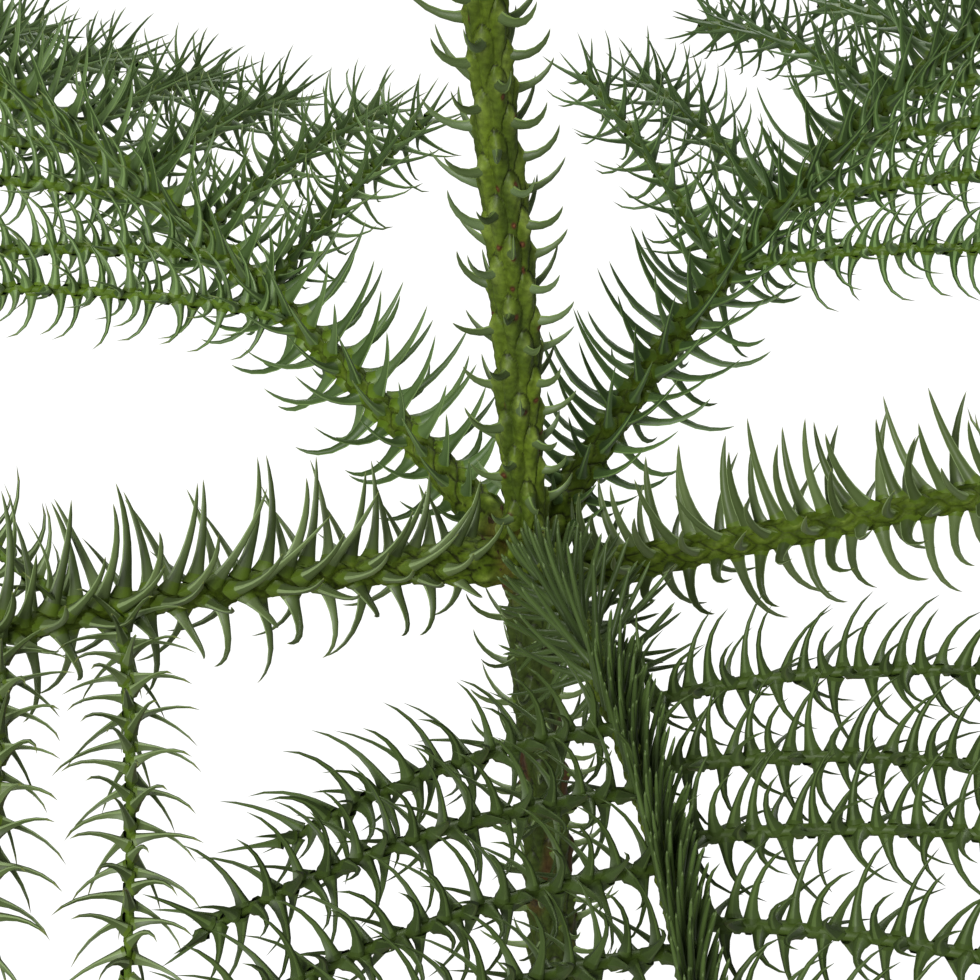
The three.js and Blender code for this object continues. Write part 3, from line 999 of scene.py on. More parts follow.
# ---------------------------------------------------------------------------------------------------------
# Finishes
# ---------------------------------------------------------------------------------------------------------
def linear(code: str) -> np.ndarray:
    """Turns an sRGB colour into linear red, green and blue.

    Args:
        code: six hexadecimal digits after a #.

    Returns:
        Array of three numbers.
    """
    values = np.array([int(code[i:i + 2], 16) / 255 for i in (1, 3, 5)])
    return np.where(values <= 0.04045, values / 12.92, ((values + 0.055) / 1.055) ** 2.4)


@dataclass(frozen=True)
class PlainFinish:
    """A material of one colour."""

    name: str
    colour: str
    roughness: float = 0.45
    gloss: float = 0.2

    def make(self) -> bpy.types.Material:
        """Makes the Blender material.

        Returns:
            The material.
        """
        material, shader = new_material(self.name, self.roughness, self.gloss)
        shader.inputs["Base Color"].default_value = (*linear(self.colour), 1)
        return material


def new_material(name: str, roughness: float, gloss: float) -> tuple[bpy.types.Material, bpy.types.Node]:
    """Makes a material with one main shader, whose colour is set afterwards.

    Args:
        name: the real material's name.
        roughness: 0 for polished to 1 for matt.
        gloss: strength of the highlight.

    Returns:
        The material and its shader node.
    """
    material = bpy.data.materials.new(name)
    material.use_nodes = True
    shader = material.node_tree.nodes["Principled BSDF"]
    shader.inputs["Roughness"].default_value = roughness
    shader.inputs["Specular IOR Level"].default_value = gloss
    return material, shader


def add_node(material: bpy.types.Material, kind: str, values: dict[str, object] | None = None,
             **settings: object) -> bpy.types.Node:
    """Adds one shader node.

    Args:
        material: the material.
        kind: Blender's node type.
        values: input socket values by name.
        settings: the node's own properties.

    Returns:
        The node.
    """
    node = material.node_tree.nodes.new(kind)
    for key, value in settings.items():
        setattr(node, key, value)
    for key, value in (values or {}).items():
        node.inputs[key].default_value = value
    return node


def join(material: bpy.types.Material, source: bpy.types.NodeSocket, target: bpy.types.NodeSocket) -> None:
    """Links two sockets.

    Args:
        material: the material.
        source: output socket.
        target: input socket.
    """
    material.node_tree.links.new(source, target)


def add_grain(material: bpy.types.Material, shader: bpy.types.Node, noise: dict[str, object],
              bump: dict[str, object]) -> bpy.types.NodeSocket:
    """Adds a noise that stays with the object, and the bump that follows it.

    Args:
        material: the material.
        shader: its main shader.
        noise: input values of the noise, its scale in grains to a metre.
        bump: input values of the bump, its distance in metres.

    Returns:
        The noise's output socket.
    """
    place = add_node(material, "ShaderNodeTexCoord")
    grain = add_node(material, "ShaderNodeTexNoise", noise)
    relief = add_node(material, "ShaderNodeBump", bump)
    join(material, place.outputs["Object"], grain.inputs["Vector"])
    join(material, grain.outputs["Fac"], relief.inputs["Height"])
    join(material, relief.outputs["Normal"], shader.inputs["Normal"])
    return grain.outputs["Fac"]


def bark_material(name: str, roughness: float, gloss: float, grain: float) -> bpy.types.Material:
    """Living bark: the corners' colours, painted highlights and shade among them, with a fine mottle that breaks up
    their evenness.

    Args:
        name: the real material's name.
        roughness: of the waxy skin.
        gloss: strength of its highlight.
        grain: size of the mottle in millimetres.

    Returns:
        The material.
    """
    material, shader = new_material(name, roughness, gloss)
    mottle = add_grain(material, shader, {"Scale": 1000 / grain, "Detail": 4.0, "Roughness": 0.6},
                       {"Strength": 0.35, "Distance": 0.1 * MM})
    tone = add_node(material, "ShaderNodeAttribute", attribute_name="bark", attribute_type="GEOMETRY")
    darker = add_node(material, "ShaderNodeMapRange",
                      {"From Min": 0.34, "From Max": 0.66, "To Min": 0.66, "To Max": 1.28})
    mix = add_node(material, "ShaderNodeVectorMath", operation="SCALE")
    join(material, mottle, darker.inputs["Value"])
    join(material, tone.outputs["Color"], mix.inputs[0])
    join(material, darker.outputs["Result"], mix.inputs["Scale"])
    join(material, mix.outputs["Vector"], shader.inputs["Base Color"])
    return material


def two_tone_material(name: str, dark: str, light: str, roughness: float, grain: float,
                      bump_depth: float) -> bpy.types.Material:
    """Two colours that run into one another, with a bump of the same grain.

    Args:
        name: the real material's name.
        dark: sRGB colour of the hollows.
        light: sRGB colour of the heights.
        roughness: of the surface.
        grain: size of the pattern in millimetres.
        bump_depth: depth of the relief in millimetres.

    Returns:
        The material.
    """
    material, shader = new_material(name, roughness, 0.2)
    coarse = add_grain(material, shader, {"Scale": 1000 / grain, "Detail": 6.0, "Roughness": 0.65},
                       {"Strength": 0.6, "Distance": bump_depth * MM})
    mix = add_node(material, "ShaderNodeMix", data_type="RGBA")
    mix.inputs["A"].default_value = (*linear(dark), 1)
    mix.inputs["B"].default_value = (*linear(light), 1)
    spread = add_node(material, "ShaderNodeMapRange", {"From Min": 0.32, "From Max": 0.68})
    join(material, coarse, spread.inputs["Value"])
    join(material, spread.outputs["Result"], mix.inputs["Factor"])
    join(material, mix.outputs["Result"], shader.inputs["Base Color"])
    return material


NEEDLE_PARTS = ("green 0", "green 1", "green 2", "margin", "point", "foot")


@dataclass
class Palette:
    """All materials of the plant and its pot."""

    # Colours of each kind of needle, in the order of its parts.
    needle_colours: tuple[str, ...] = ("#3b4825", "#45522e", "#323e1d", "#62714a", "#4c5528", "#3c4d10")
    stem_colours: tuple[str, ...] = ("#3f4d2a", "#475635", "#364323", "#586a38", "#4c5528", "#3c4d10")
    back_colours: tuple[str, ...] = ("#344722", "#3e532b", "#2b3d1b", "#546b3b", "#46552a", "#3a4d10")
    fresh_colours: tuple[str, ...] = ("#394c26", "#44572f", "#30421d", "#5b7041", "#4d5b2e", "#405410")
    # The front bough's colours and those of its side shoots are painted shade: darker copies of the other greens.
    front_painted_shade_colours: tuple[str, ...] = ("#31401b", "#384821", "#2b3917", "#47592c", "#3b4a24", "#33431a")
    shade_colours: tuple[str, ...] = ("#2b3818", "#313f1d", "#263215", "#3a4923", "#313e1d", "#2b3913")

    def __post_init__(self) -> None:
        """Makes the materials."""
        # Waxy juvenile needles: deep green with a soft, broad highlight.
        self.needles = self._needle_finishes("needle", self.needle_colours, 0.2)
        # Fresher green of the two boughs at the back, lighter on the left one.
        self.back_needles = self._needle_finishes("back needle", self.back_colours, 0.2)
        self.fresh_needles = self._needle_finishes("fresh needle", self.fresh_colours, 0.2)
        # Greyer needles of the trunk.
        self.stem_needles = self._needle_finishes("stem needle", self.stem_colours, 0.2)
        # Painted shade: darker copies of the needle greens for the front bough, darker and duller still on its side
        # shoots.
        self.deep_needles = self._needle_finishes("deep needle", self.front_painted_shade_colours, 0.2)
        self.deep_needles += self._needle_finishes("shaded needle", self.shade_colours, 0.12)
        # Soft yellow-green skin of the side shoots.
        self.twig = PlainFinish("side shoot skin", "#3a4e0f", 0.55).make()
        # Painted shade: a darker copy of the skin for the front bough's side shoots.
        self.shaded_twig = PlainFinish("shaded side shoot skin", "#2c3b0e", 0.55).make()
        # Living bark of the trunk, a little waxy.
        self.bark = bark_material("green bark", 0.5, 0.13, 1.1)
        # The boughs' bark is duller.
        self.bough_bark = bark_material("bough bark", 0.6, 0.05, 1.1)
        # Papery scales of the old bud at the foot of each bough.
        self.scale = PlainFinish("bud scale", "#2b2210", 0.8, 0.1).make()
        # Unglazed clay with a faint bloom.
        self.clay = two_tone_material("fired clay", "#945437", "#aa6f50", 0.85, 22, 0.25)
        # Damp bark and peat mix.
        self.soil = two_tone_material("potting mix", "#1d130c", "#4a3424", 0.95, 2.2, 0.8)
        self.chips = [PlainFinish(*crumb).make() for crumb in (("bark chip", "#4b3120", 0.85),
                                                               ("peat crumb", "#2a1b12", 0.95))]

    @staticmethod
    def _needle_finishes(kind: str, colours: tuple[str, ...], gloss: float) -> list[bpy.types.Material]:
        """Makes the finishes of one kind of needle from the colours of its parts."""
        return [PlainFinish(f"{kind} {part}", c, 0.48, gloss).make() for part, c in zip(NEEDLE_PARTS, colours)]


# ---------------------------------------------------------------------------------------------------------
# Sub-assemblies
# ---------------------------------------------------------------------------------------------------------
# Colours of the bark, which is painted corner by corner. The crest colours are painted highlights on the swelling
# round each needle's root, and the low colours are painted shade in the hollows between.
TRUNK_SEAM = linear("#1b1f0a")
TRUNK_PAINTED_SHADE = linear("#2a370b")
TRUNK_BODY = linear("#425110")
TRUNK_PAINTED_HIGHLIGHT = linear("#626f36")
OLD_BODY = linear("#202a0a")
OLD_PATCH = linear("#2c140a")
OLD_SEAM = linear("#0e0b07")
LENTICEL = linear("#33180d")
LENTICEL_HEART = linear("#74502f")
COLLAR_BROWN = linear("#3f3315")
BOUGH_SEAM = linear("#181b08")
BOUGH_PAINTED_SHADE = linear("#2c3a0a")
BOUGH_BODY = linear("#3e4d0f")
BOUGH_PAINTED_HIGHLIGHT = linear("#5f6d2e")


def blend(a: np.ndarray, b: np.ndarray, share: Numbers) -> np.ndarray:
    """Mixes two colours.

    Args:
        a: first colour or array of colours.
        b: second.
        share: how much of the second, 0 to 1.

    Returns:
        The mixed colours.
    """
    share = np.clip(share, 0, 1)[..., None]
    return a * (1 - share) + b * share


@dataclass(frozen=True)
class Stretch:
    """One length of the trunk's skin: its piece, lowest and greatest height, spacing of rings and their corners."""

    name: str
    low: float
    high: float
    step: float
    columns: int


@dataclass
class Trunk:
    """The trunk, its leaf bases, lenticels and needles.

    Its skin lies by `sunk` inside its form, so that the leaf bases stand about level with it. The wood turns old
    from the first height of `old_wood` down to the second. Needles grow from `needles_from` upwards. Lenticels grow
    on the younger wood from `marks_from` upwards, and `mark_high` and `mark_wide` are their half sizes on a trunk of
    the half width `mark_girth`.
    """

    growth: Growth
    palette: Palette
    needle: NeedleForm = NeedleForm(spacing=1.27, length=10.8, wide=0.55, narrow=0.44, stance=104, upper=0, curl=84,
                                    under=0, late=0.8, hook=0, rising=0.05, flank=0, flare=2.3, skirt=0.2, gather=0,
                                    section=Section.RIDGED, short_root=105,
                                    shares=(0, 0.04, 0.1, 0.2, 0.36, 0.54, 0.72, 0.87, 0.95, 1))
    bark: BarkForm = BarkForm(long=7.4, ahead=2.3, wide=1.75, height=0.8, swell=0.5)
    stretches: tuple[Stretch, ...] = (Stretch("trunk_foot", 0, 92, 0.6, 56),
                                      Stretch("trunk_middle", 92, 312, 0.26, 112),
                                      Stretch("trunk_head", 312, 632, 0.6, 56))
    sunk: float = 0.5
    old_wood: tuple[float, float] = (199, 185)
    needles_from: float = 10.0
    marks: int = 420
    marks_from: float = 190.0
    mark_high: float = 0.56
    mark_wide: float = 0.42
    mark_girth: float = 3.6

    def build(self) -> None:
        """Makes the trunk's pieces."""
        limb, rng = TrunkLimb(self.growth.trunk), np.random.default_rng(31)
        sites = needle_sites(limb, 6, limb.length - 2, self.needle, self.growth.trunk.radius, phase=20, rng=rng)
        for stretch in self.stretches:
            self._bark(stretch, limb, sites)
        self._needles(limb, sites)

    def _needles(self, limb: TrunkLimb, sites: Sites) -> None:
        """Makes the needles, with none where the boughs leave the trunk and finer ones under the lowest tier.

        Args:
            limb: the trunk's line.
            sites: all needle roots.
        """
        rng = np.random.default_rng(5)
        fine = replace(self.needle, length=9.6, wide=0.44, narrow=0.36)
        old, young = Surface(), Surface()
        low = self.needles_from
        for high in [tier.height for tier in TIERS] + [limb.length]:
            clear = 0.9 * float(self.growth.trunk.radius(high)) if high < limb.length else 0
            surface, form = (old, fine) if high == LOWEST_TIER.height else (young, self.needle)
            needles(surface, sites.between(low, high - clear), form, rng)
            low = high + clear
        old.piece("trunk_low_needles", self.palette.needles, Slot.NEEDLES, ["trunk"])
        young.piece("trunk_needles", self.palette.stem_needles, Slot.NEEDLES, ["trunk"])

    def _bark(self, stretch: Stretch, limb: TrunkLimb, sites: Sites) -> None:
        """Makes one stretch of the trunk's skin, with leaf bases that get finer with the trunk.

        Args:
            stretch: which one.
            limb: the trunk's line.
            sites: needle roots, which the leaf bases surround.
        """
        s = np.linspace(stretch.low, stretch.high, int((stretch.high - stretch.low) / stretch.step) + 1)
        turn, radius = ring_angles(stretch.columns), self.growth.trunk.radius(s)
        relief, seam, root = leaf_base_relief(s, turn, radius, sites, self.bark)
        flat = shoot_rings(limb, s, turn, np.broadcast_to(radius[:, None], relief.shape))
        near_tier = np.min([np.abs(s - tier.height + 2) for tier in TIERS], 0)
        crinkle = bell(near_tier, 5)[:, None] * (0.1 + 0.25 * ripple(flat, scale=2.2, seed=9))
        age = ramp(s, *self.old_wood)[:, None]
        rough = 0.12 * ripple(flat, scale=1.6, seed=3) + 0.1 * age * ripple(flat * [1, 1, 0.35], scale=1.8, seed=4)
        slim = np.clip(radius / 3.4, 0.45, 1)[:, None]
        skin = (radius - self.sunk - limb.shrink(s))[:, None] + relief * slim + rough + crinkle
        tones = self._tones(flat, seam, root, age, near_tier)
        self._paint_lenticels(tones, s)
        points, faces, tones = capped_tube(shoot_rings(limb, s, turn, skin), tones)
        surface = Surface()
        surface.add(points, faces, tones=tones)
        surface.piece(stretch.name, [self.palette.bark], Slot.TRUNK, ["trunk"], toned=True)

    @staticmethod
    def _tones(flat: np.ndarray, seam: np.ndarray, root: np.ndarray, age: np.ndarray,
               near_tier: np.ndarray) -> np.ndarray:
        """Trunk skin colours: painted highlight on crests, painted shade in hollows, dark seams, old wood's brown
        patches, brown at tiers.

        Args:
            flat: places on the skin without relief.
            seam: nearness to a seam.
            root: nearness to a needle.
            age: 1 on the old wood below the lowest tier, 0 above it, one for each ring.
            near_tier: distance of each ring from the nearest tier.

        Returns:
            Linear colours.
        """
        streak = ripple(flat * [1, 1, 0.25], scale=2.4, seed=12)
        # Painted highlight: lighter towards each needle's root on the top of its leaf base, with random streaks.
        young = blend(TRUNK_BODY, TRUNK_PAINTED_HIGHLIGHT, 0.6 * root + 0.25 * streak)
        shade = ripple(flat * [1, 1, 0.4], scale=3.4, seed=17)
        # Painted shade: darker away from the needles' roots, in the hollows of the leaf bases, in uneven patches.
        young = blend(young, TRUNK_PAINTED_SHADE, np.clip(0.5 - 0.9 * root - 0.5 * shade, 0, 0.9))
        young = blend(young, TRUNK_SEAM, 0.95 * np.clip(seam * 2.2 - 0.9, 0, 1))
        patch = np.clip(ripple(flat * [1, 1, 0.3], scale=6, seed=21) * 2.2 - 0.25, 0, 1)
        old = blend(OLD_BODY, OLD_PATCH, patch)
        old = blend(old, OLD_SEAM, 0.9 * np.clip(seam * 1.6 - 0.4, 0, 1))
        tones = blend(young, old, np.broadcast_to(age, seam.shape) * 0.9)
        brown = bell(near_tier, 3.2)[:, None] * (0.6 + 0.4 * ripple(flat, scale=1.9, seed=8))
        return blend(tones, COLLAR_BROWN, brown)

    def _paint_lenticels(self, tones: np.ndarray, s: np.ndarray) -> None:
        """Paints lenticels, brown ovals with a pale heart.

        Args:
            tones: colours of the skin by ring and corner, which are changed.
            s: height of each ring.
        """
        rng = np.random.default_rng(88)
        angles = ring_angles(tones.shape[1])
        for height, turn in zip(rng.uniform(10, 630, self.marks), rng.uniform(0, 2 * np.pi, self.marks)):
            rows = np.flatnonzero(np.abs(s - height) < 1.2)
            if height < self.marks_from or not len(rows):
                continue
            wrap = (angles - turn + np.pi) % (2 * np.pi) - np.pi
            sideways = wrap[None, :] * self.mark_girth / self.mark_wide
            gap = np.hypot((s[rows] - height)[:, None] / self.mark_high, sideways)
            spot = blend(tones[rows], LENTICEL, np.clip(1.3 - gap, 0, 1) * 1.7)
            tones[rows] = blend(spot, LENTICEL_HEART, np.clip(0.5 - gap, 0, 1) * 1.4)


@dataclass(frozen=True)
class Detail:
    """How finely a tier is made: spacing of rings and their corners on boughs and on side shoots, half width of
    the side shoots at their feet, and whether it is the close-up tier, with a piece and bud scales for each bough.
    """

    bough_step: float
    bough_columns: int
    shoot_step: float
    shoot_columns: int
    shoot_radius: float
    close_up: bool


CLOSE_UP = Detail(0.27, 64, 0.7, 8, 1.0, True)
DISTANT = Detail(0.8, 14, 1.6, 5, 0.75, False)


@dataclass
class BoughSet:
    """One tier of boughs: their bark, their side shoots and all their needles.

    `skin` is how far the bark stands off the solids. By the boughs' keys, `own_needles` gives other needles for a
    bough with the distances from which they grow, `own_sides` other needles for its side shoots, and `own_greens`
    other materials for all of them, of which the last set is the side shoots'. A side shoot loses `shoot_loss` of
    its half width to its tip, and its needles start `shoot_bare` along it.
    """

    growth: Growth
    palette: Palette
    tier: Tier
    bare_needle: NeedleForm
    side_needle: NeedleForm
    detail: Detail
    skin: float = 0.0
    own_needles: dict[str, tuple] = field(default_factory=dict)
    own_sides: dict[str, NeedleForm] = field(default_factory=dict)
    own_greens: dict[str, list] = field(default_factory=dict)
    bud_scale: NeedleForm = NeedleForm(spacing=0.3, length=2.2, wide=0.24, narrow=0.6, stance=34, upper=0, curl=-16,
                                       under=0, hook=0, rising=0, flank=0, flare=1.2, section=Section.PLAIN,
                                       shares=(0, 0.3, 0.7, 1), tuft=1)
    shoot_bark: BarkForm = BarkForm(long=1.8, ahead=0.8, wide=0.55, height=0.16, swell=0.34)
    shoot_loss: float = 0.5
    shoot_bare: float = 2.2

    def build(self) -> None:
        """Makes the tier's pieces."""
        bark, twigs, clothed = Surface(), Surface(), Surface()
        bough_nodes, spray_nodes = [], []
        barks = [self.palette.bough_bark, self.palette.scale]
        for index, bough in enumerate(self.tier.boughs):
            name = f"{self.tier.name}_tier_{bough.key}"
            bough_nodes.append(f"{name}_bough")
            spray_nodes.append(f"{name}_spray")
            rng = np.random.default_rng(100 * self.tier.number + index)
            self._stem(index, bark, clothed, rng)
            greens = self.own_greens.get(bough.key, self.palette.needles)
            self._shoots(index, twigs, clothed, rng, len(greens) - len(NEEDLE_PARTS))
            if self.detail.close_up:
                clothed.piece(f"{name}_needles", greens, Slot.NEEDLES, spray_nodes[-1:])
                bark.piece(f"{name}_bark", barks, Slot.BOUGH, bough_nodes[-1:], toned=True)
                bark, clothed = Surface(), Surface()
        if not self.detail.close_up:
            clothed.piece(f"{self.tier.name}_tier_needles", self.palette.needles, Slot.NEEDLES, spray_nodes)
            bark.piece(f"{self.tier.name}_tier_bark", barks, Slot.BOUGH, bough_nodes, toned=True)
        skins = [self.palette.twig, self.palette.shaded_twig]
        twigs.piece(f"{self.tier.name}_tier_side_shoots", skins, Slot.BOUGH, spray_nodes)

    def _half_width(self, bough: Bough, girth: float, s: Numbers) -> Numbers:
        """Half width of a bough's bark, with a collar where it leaves a trunk of half width `girth`."""
        collar = 0.28 * girth * bell(np.maximum(s - girth, 0), 13)
        return self.growth.radius(self.tier, bough, s) + collar + self.skin

    def _stem(self, index: int, bark: Surface, clothed: Surface, rng: np.random.Generator) -> None:
        """Makes one bough from trunk to tip, with the needles that stand on it.

        Args:
            index: which bough.
            bark: surface for the bark.
            clothed: surface for the needles.
            rng: numpy generator.
        """
        bough = self.tier.boughs[index]
        limb = self.growth.limb(self.tier, bough)
        girth = float(self.growth.trunk.radius(self.tier.height))
        radius_at = partial(self._half_width, bough, girth)
        kinds = self.own_needles.get(bough.key, ((0, self.bare_needle),))
        form = kinds[0][1]
        sites = needle_sites(limb, girth + 1, limb.length - 0.5, form, radius_at, 40 * index, rng)
        self._bark(bough, limb, sites, radius_at, girth, bark)
        ends = [start for start, _ in kinds[1:]] + [limb.length]
        for (start, kind), end in zip(kinds, ends):
            needles(clothed, sites.between(max(start, girth + form.bald), end), kind, rng)
        if self.detail.close_up:
            self._bud_scales(limb, girth, radius_at, bark, rng)

    def _bark(self, bough: Bough, limb: Limb, sites: Sites, radius_at: HalfWidth, girth: float,
              bark: Surface) -> None:
        """Makes the bark of one bough, with leaf bases in step with its thickness and coarser rings on its spray.

        Args:
            bough: the bough.
            limb: its line.
            sites: needle roots, which the leaf bases surround.
            radius_at: its half width.
            girth: the trunk's half width.
            bark: surface for the bark.
        """
        step, turn = self.detail.bough_step, ring_angles(self.detail.bough_columns)
        thick = radius_at(np.array([bough.bare * 0.5]))[0]
        bases = BarkForm(long=1.9 * thick, ahead=0.95 * thick, wide=0.86 * thick, height=0.28 * thick,
                         swell=0.16 * thick, tail=0.75)
        s = np.concatenate([np.arange(0, bough.bare, step), np.arange(bough.bare, limb.length - 0.2, 2.5 * step)])
        radius = radius_at(s)
        relief, seam, root = leaf_base_relief(s, turn, radius, sites, bases)
        flat = shoot_rings(limb, s, turn, np.broadcast_to(radius[:, None], relief.shape))
        slim = np.clip(radius / thick, 0.35, 1)[:, None]
        rings = shoot_rings(limb, s, turn, radius[:, None] + (relief + 0.05 * ripple(flat, scale=1.4, seed=6)) * slim)
        points, faces, tones = capped_tube(rings, self._tones(flat, s, girth, seam, root))
        bark.add(points, faces, tones=tones)

    @staticmethod
    def _tones(flat: np.ndarray, s: np.ndarray, girth: float, seam: np.ndarray, root: np.ndarray) -> np.ndarray:
        """Bough bark colours: painted highlight on crests, painted shade in hollows, darker outwards, dark seams
        fading outwards, brown foot.

        Args:
            flat: places on the bark without relief.
            s: distance of each ring from the trunk's centre.
            girth: the trunk's half width.
            seam: nearness to a seam.
            root: nearness to a needle.

        Returns:
            Linear colours.
        """
        streak = ripple(flat, scale=2.6, seed=14)
        # Painted highlight: lighter towards each needle's root on the top of its leaf base, with random streaks.
        tones = blend(BOUGH_BODY, BOUGH_PAINTED_HIGHLIGHT, 0.55 * root + 0.3 * streak)
        # Painted shade: darker away from the needles' roots, in the hollows of the leaf bases.
        tones = blend(tones, BOUGH_PAINTED_SHADE, 0.45 - 0.9 * root - 0.4 * ripple(flat, scale=4.2, seed=15))
        far = ramp(s, 14, 54)[:, None]
        tones = tones * (1 - 0.25 * far[..., None])
        tones = blend(tones, BOUGH_SEAM, (0.95 - 0.45 * far) * np.clip(seam * 3 - 0.8 - 0.5 * far, 0, 1))
        return blend(tones, COLLAR_BROWN, bell(s - girth, 2.2)[:, None] * (0.55 + 0.35 * streak))

    def _bud_scales(self, limb: Limb, girth: float, radius_at: HalfWidth, bark: Surface,
                    rng: np.random.Generator) -> None:
        """Adds the papery scales at a bough's foot.

        Args:
            limb: the bough's line.
            girth: the trunk's half width.
            radius_at: the bough's half width.
            bark: surface for the bark, whose second material is the scales'.
            rng: numpy generator.
        """
        scales = Surface()
        sites = needle_sites(limb, girth - 0.2, girth + 2.2, self.bud_scale, radius_at, 0, rng)
        needles(scales, sites, self.bud_scale, rng, greens=1)
        bark.add(np.concatenate(scales.points), np.concatenate(scales.faces), 1)

    def _shoots(self, index: int, twigs: Surface, clothed: Surface, rng: np.random.Generator, first: int) -> None:
        """Makes the side shoots of one bough with their needles.

        Args:
            index: which bough.
            twigs: surface for the shoots' skin, whose second material, a painted-shade copy, is for shoots with
                greens of their own.
            clothed: surface for the needles.
            rng: numpy generator.
            first: finish number of their first green.
        """
        detail, turn = self.detail, ring_angles(self.detail.shoot_columns)
        needle = self.own_sides.get(self.tier.boughs[index].key, self.side_needle)
        for number, shoot in enumerate(self.growth.side_shoots(self.tier, index)):
            radius_at, end = Taper(detail.shoot_radius, self.shoot_loss, shoot.length), shoot.length - END_GAP
            sites = needle_sites(shoot, self.shoot_bare, end, needle, radius_at, 31 * number, rng)
            s = np.arange(0, shoot.length, detail.shoot_step)
            radius = radius_at(s)
            relief, *_ = leaf_base_relief(s, turn, radius, sites, self.shoot_bark)
            points, faces, _ = capped_tube(shoot_rings(shoot, s, turn, radius[:, None] + relief))
            # Shoots with greens of their own get the painted-shade skin.
            twigs.add(points, faces, int(first > 0))
            needles(clothed, sites, needle, rng, first=first)


@dataclass
class TopShoot:
    """The leading shoot with its ring of short young shoots, which leave it `clear` millimetres above its foot.

    Each loses `loss` of its half width to its tip, and its needles start `bare` along it.
    """

    growth: Growth
    palette: Palette
    leader: float = 66.0
    leader_radius: float = 1.4
    radius: float = 0.9
    loss: float = 0.6
    bare: float = 3.0
    step: float = 1.0
    columns: int = 8
    count: int = 5
    azimuth: float = 48.0
    rise: float = 44.0
    arch: float = 14.0
    length: float = 52.0
    clear: float = 7.0
    needle: NeedleForm = NeedleForm(spacing=0.85, length=9.0, wide=0.42, narrow=0.34, stance=74, upper=6, curl=38,
                                    under=10, shares=(0, 0.15, 0.45, 0.75, 0.93, 1), tuft=12)

    def build(self) -> None:
        """Makes the top's pieces."""
        trunk = self.growth.trunk
        foot = trunk.centre(trunk.top) + np.array([0, 0, 0.3])
        upright = Limb(foot, 0, 89, 0, 0, self.leader)
        rng, numbers = Seeded(77), np.random.default_rng(7)
        shoots = [(upright, self.leader_radius)]
        for k in range(self.count):
            azimuth = self.azimuth + 360 * k / self.count + rng.spread(6)
            rise = self.rise + rng.spread(4)
            length = self.length * (1 + rng.spread(0.08))
            shoots.append((Limb(upright.at(self.clear), azimuth, rise, self.arch, 0, length), self.radius))
        skin, clothed = Surface(), Surface()
        turn = ring_angles(self.columns)
        for number, (shoot, thick) in enumerate(shoots):
            radius_at, end = Taper(thick, self.loss, shoot.length), shoot.length - END_GAP
            sites = needle_sites(shoot, self.bare, end, self.needle, radius_at, 50 * number, numbers)
            s = np.arange(0, shoot.length, self.step)
            rings = shoot_rings(shoot, s, turn, np.repeat(radius_at(s)[:, None], self.columns, 1))
            points, faces, _ = capped_tube(rings)
            skin.add(points, faces)
            needles(clothed, sites, self.needle, numbers)
        skin.piece("top_shoot_skin", [self.palette.twig], Slot.BOUGH, ["top_shoot"])
        clothed.piece("top_shoot_needles", self.palette.needles, Slot.NEEDLES, ["top_shoot"])


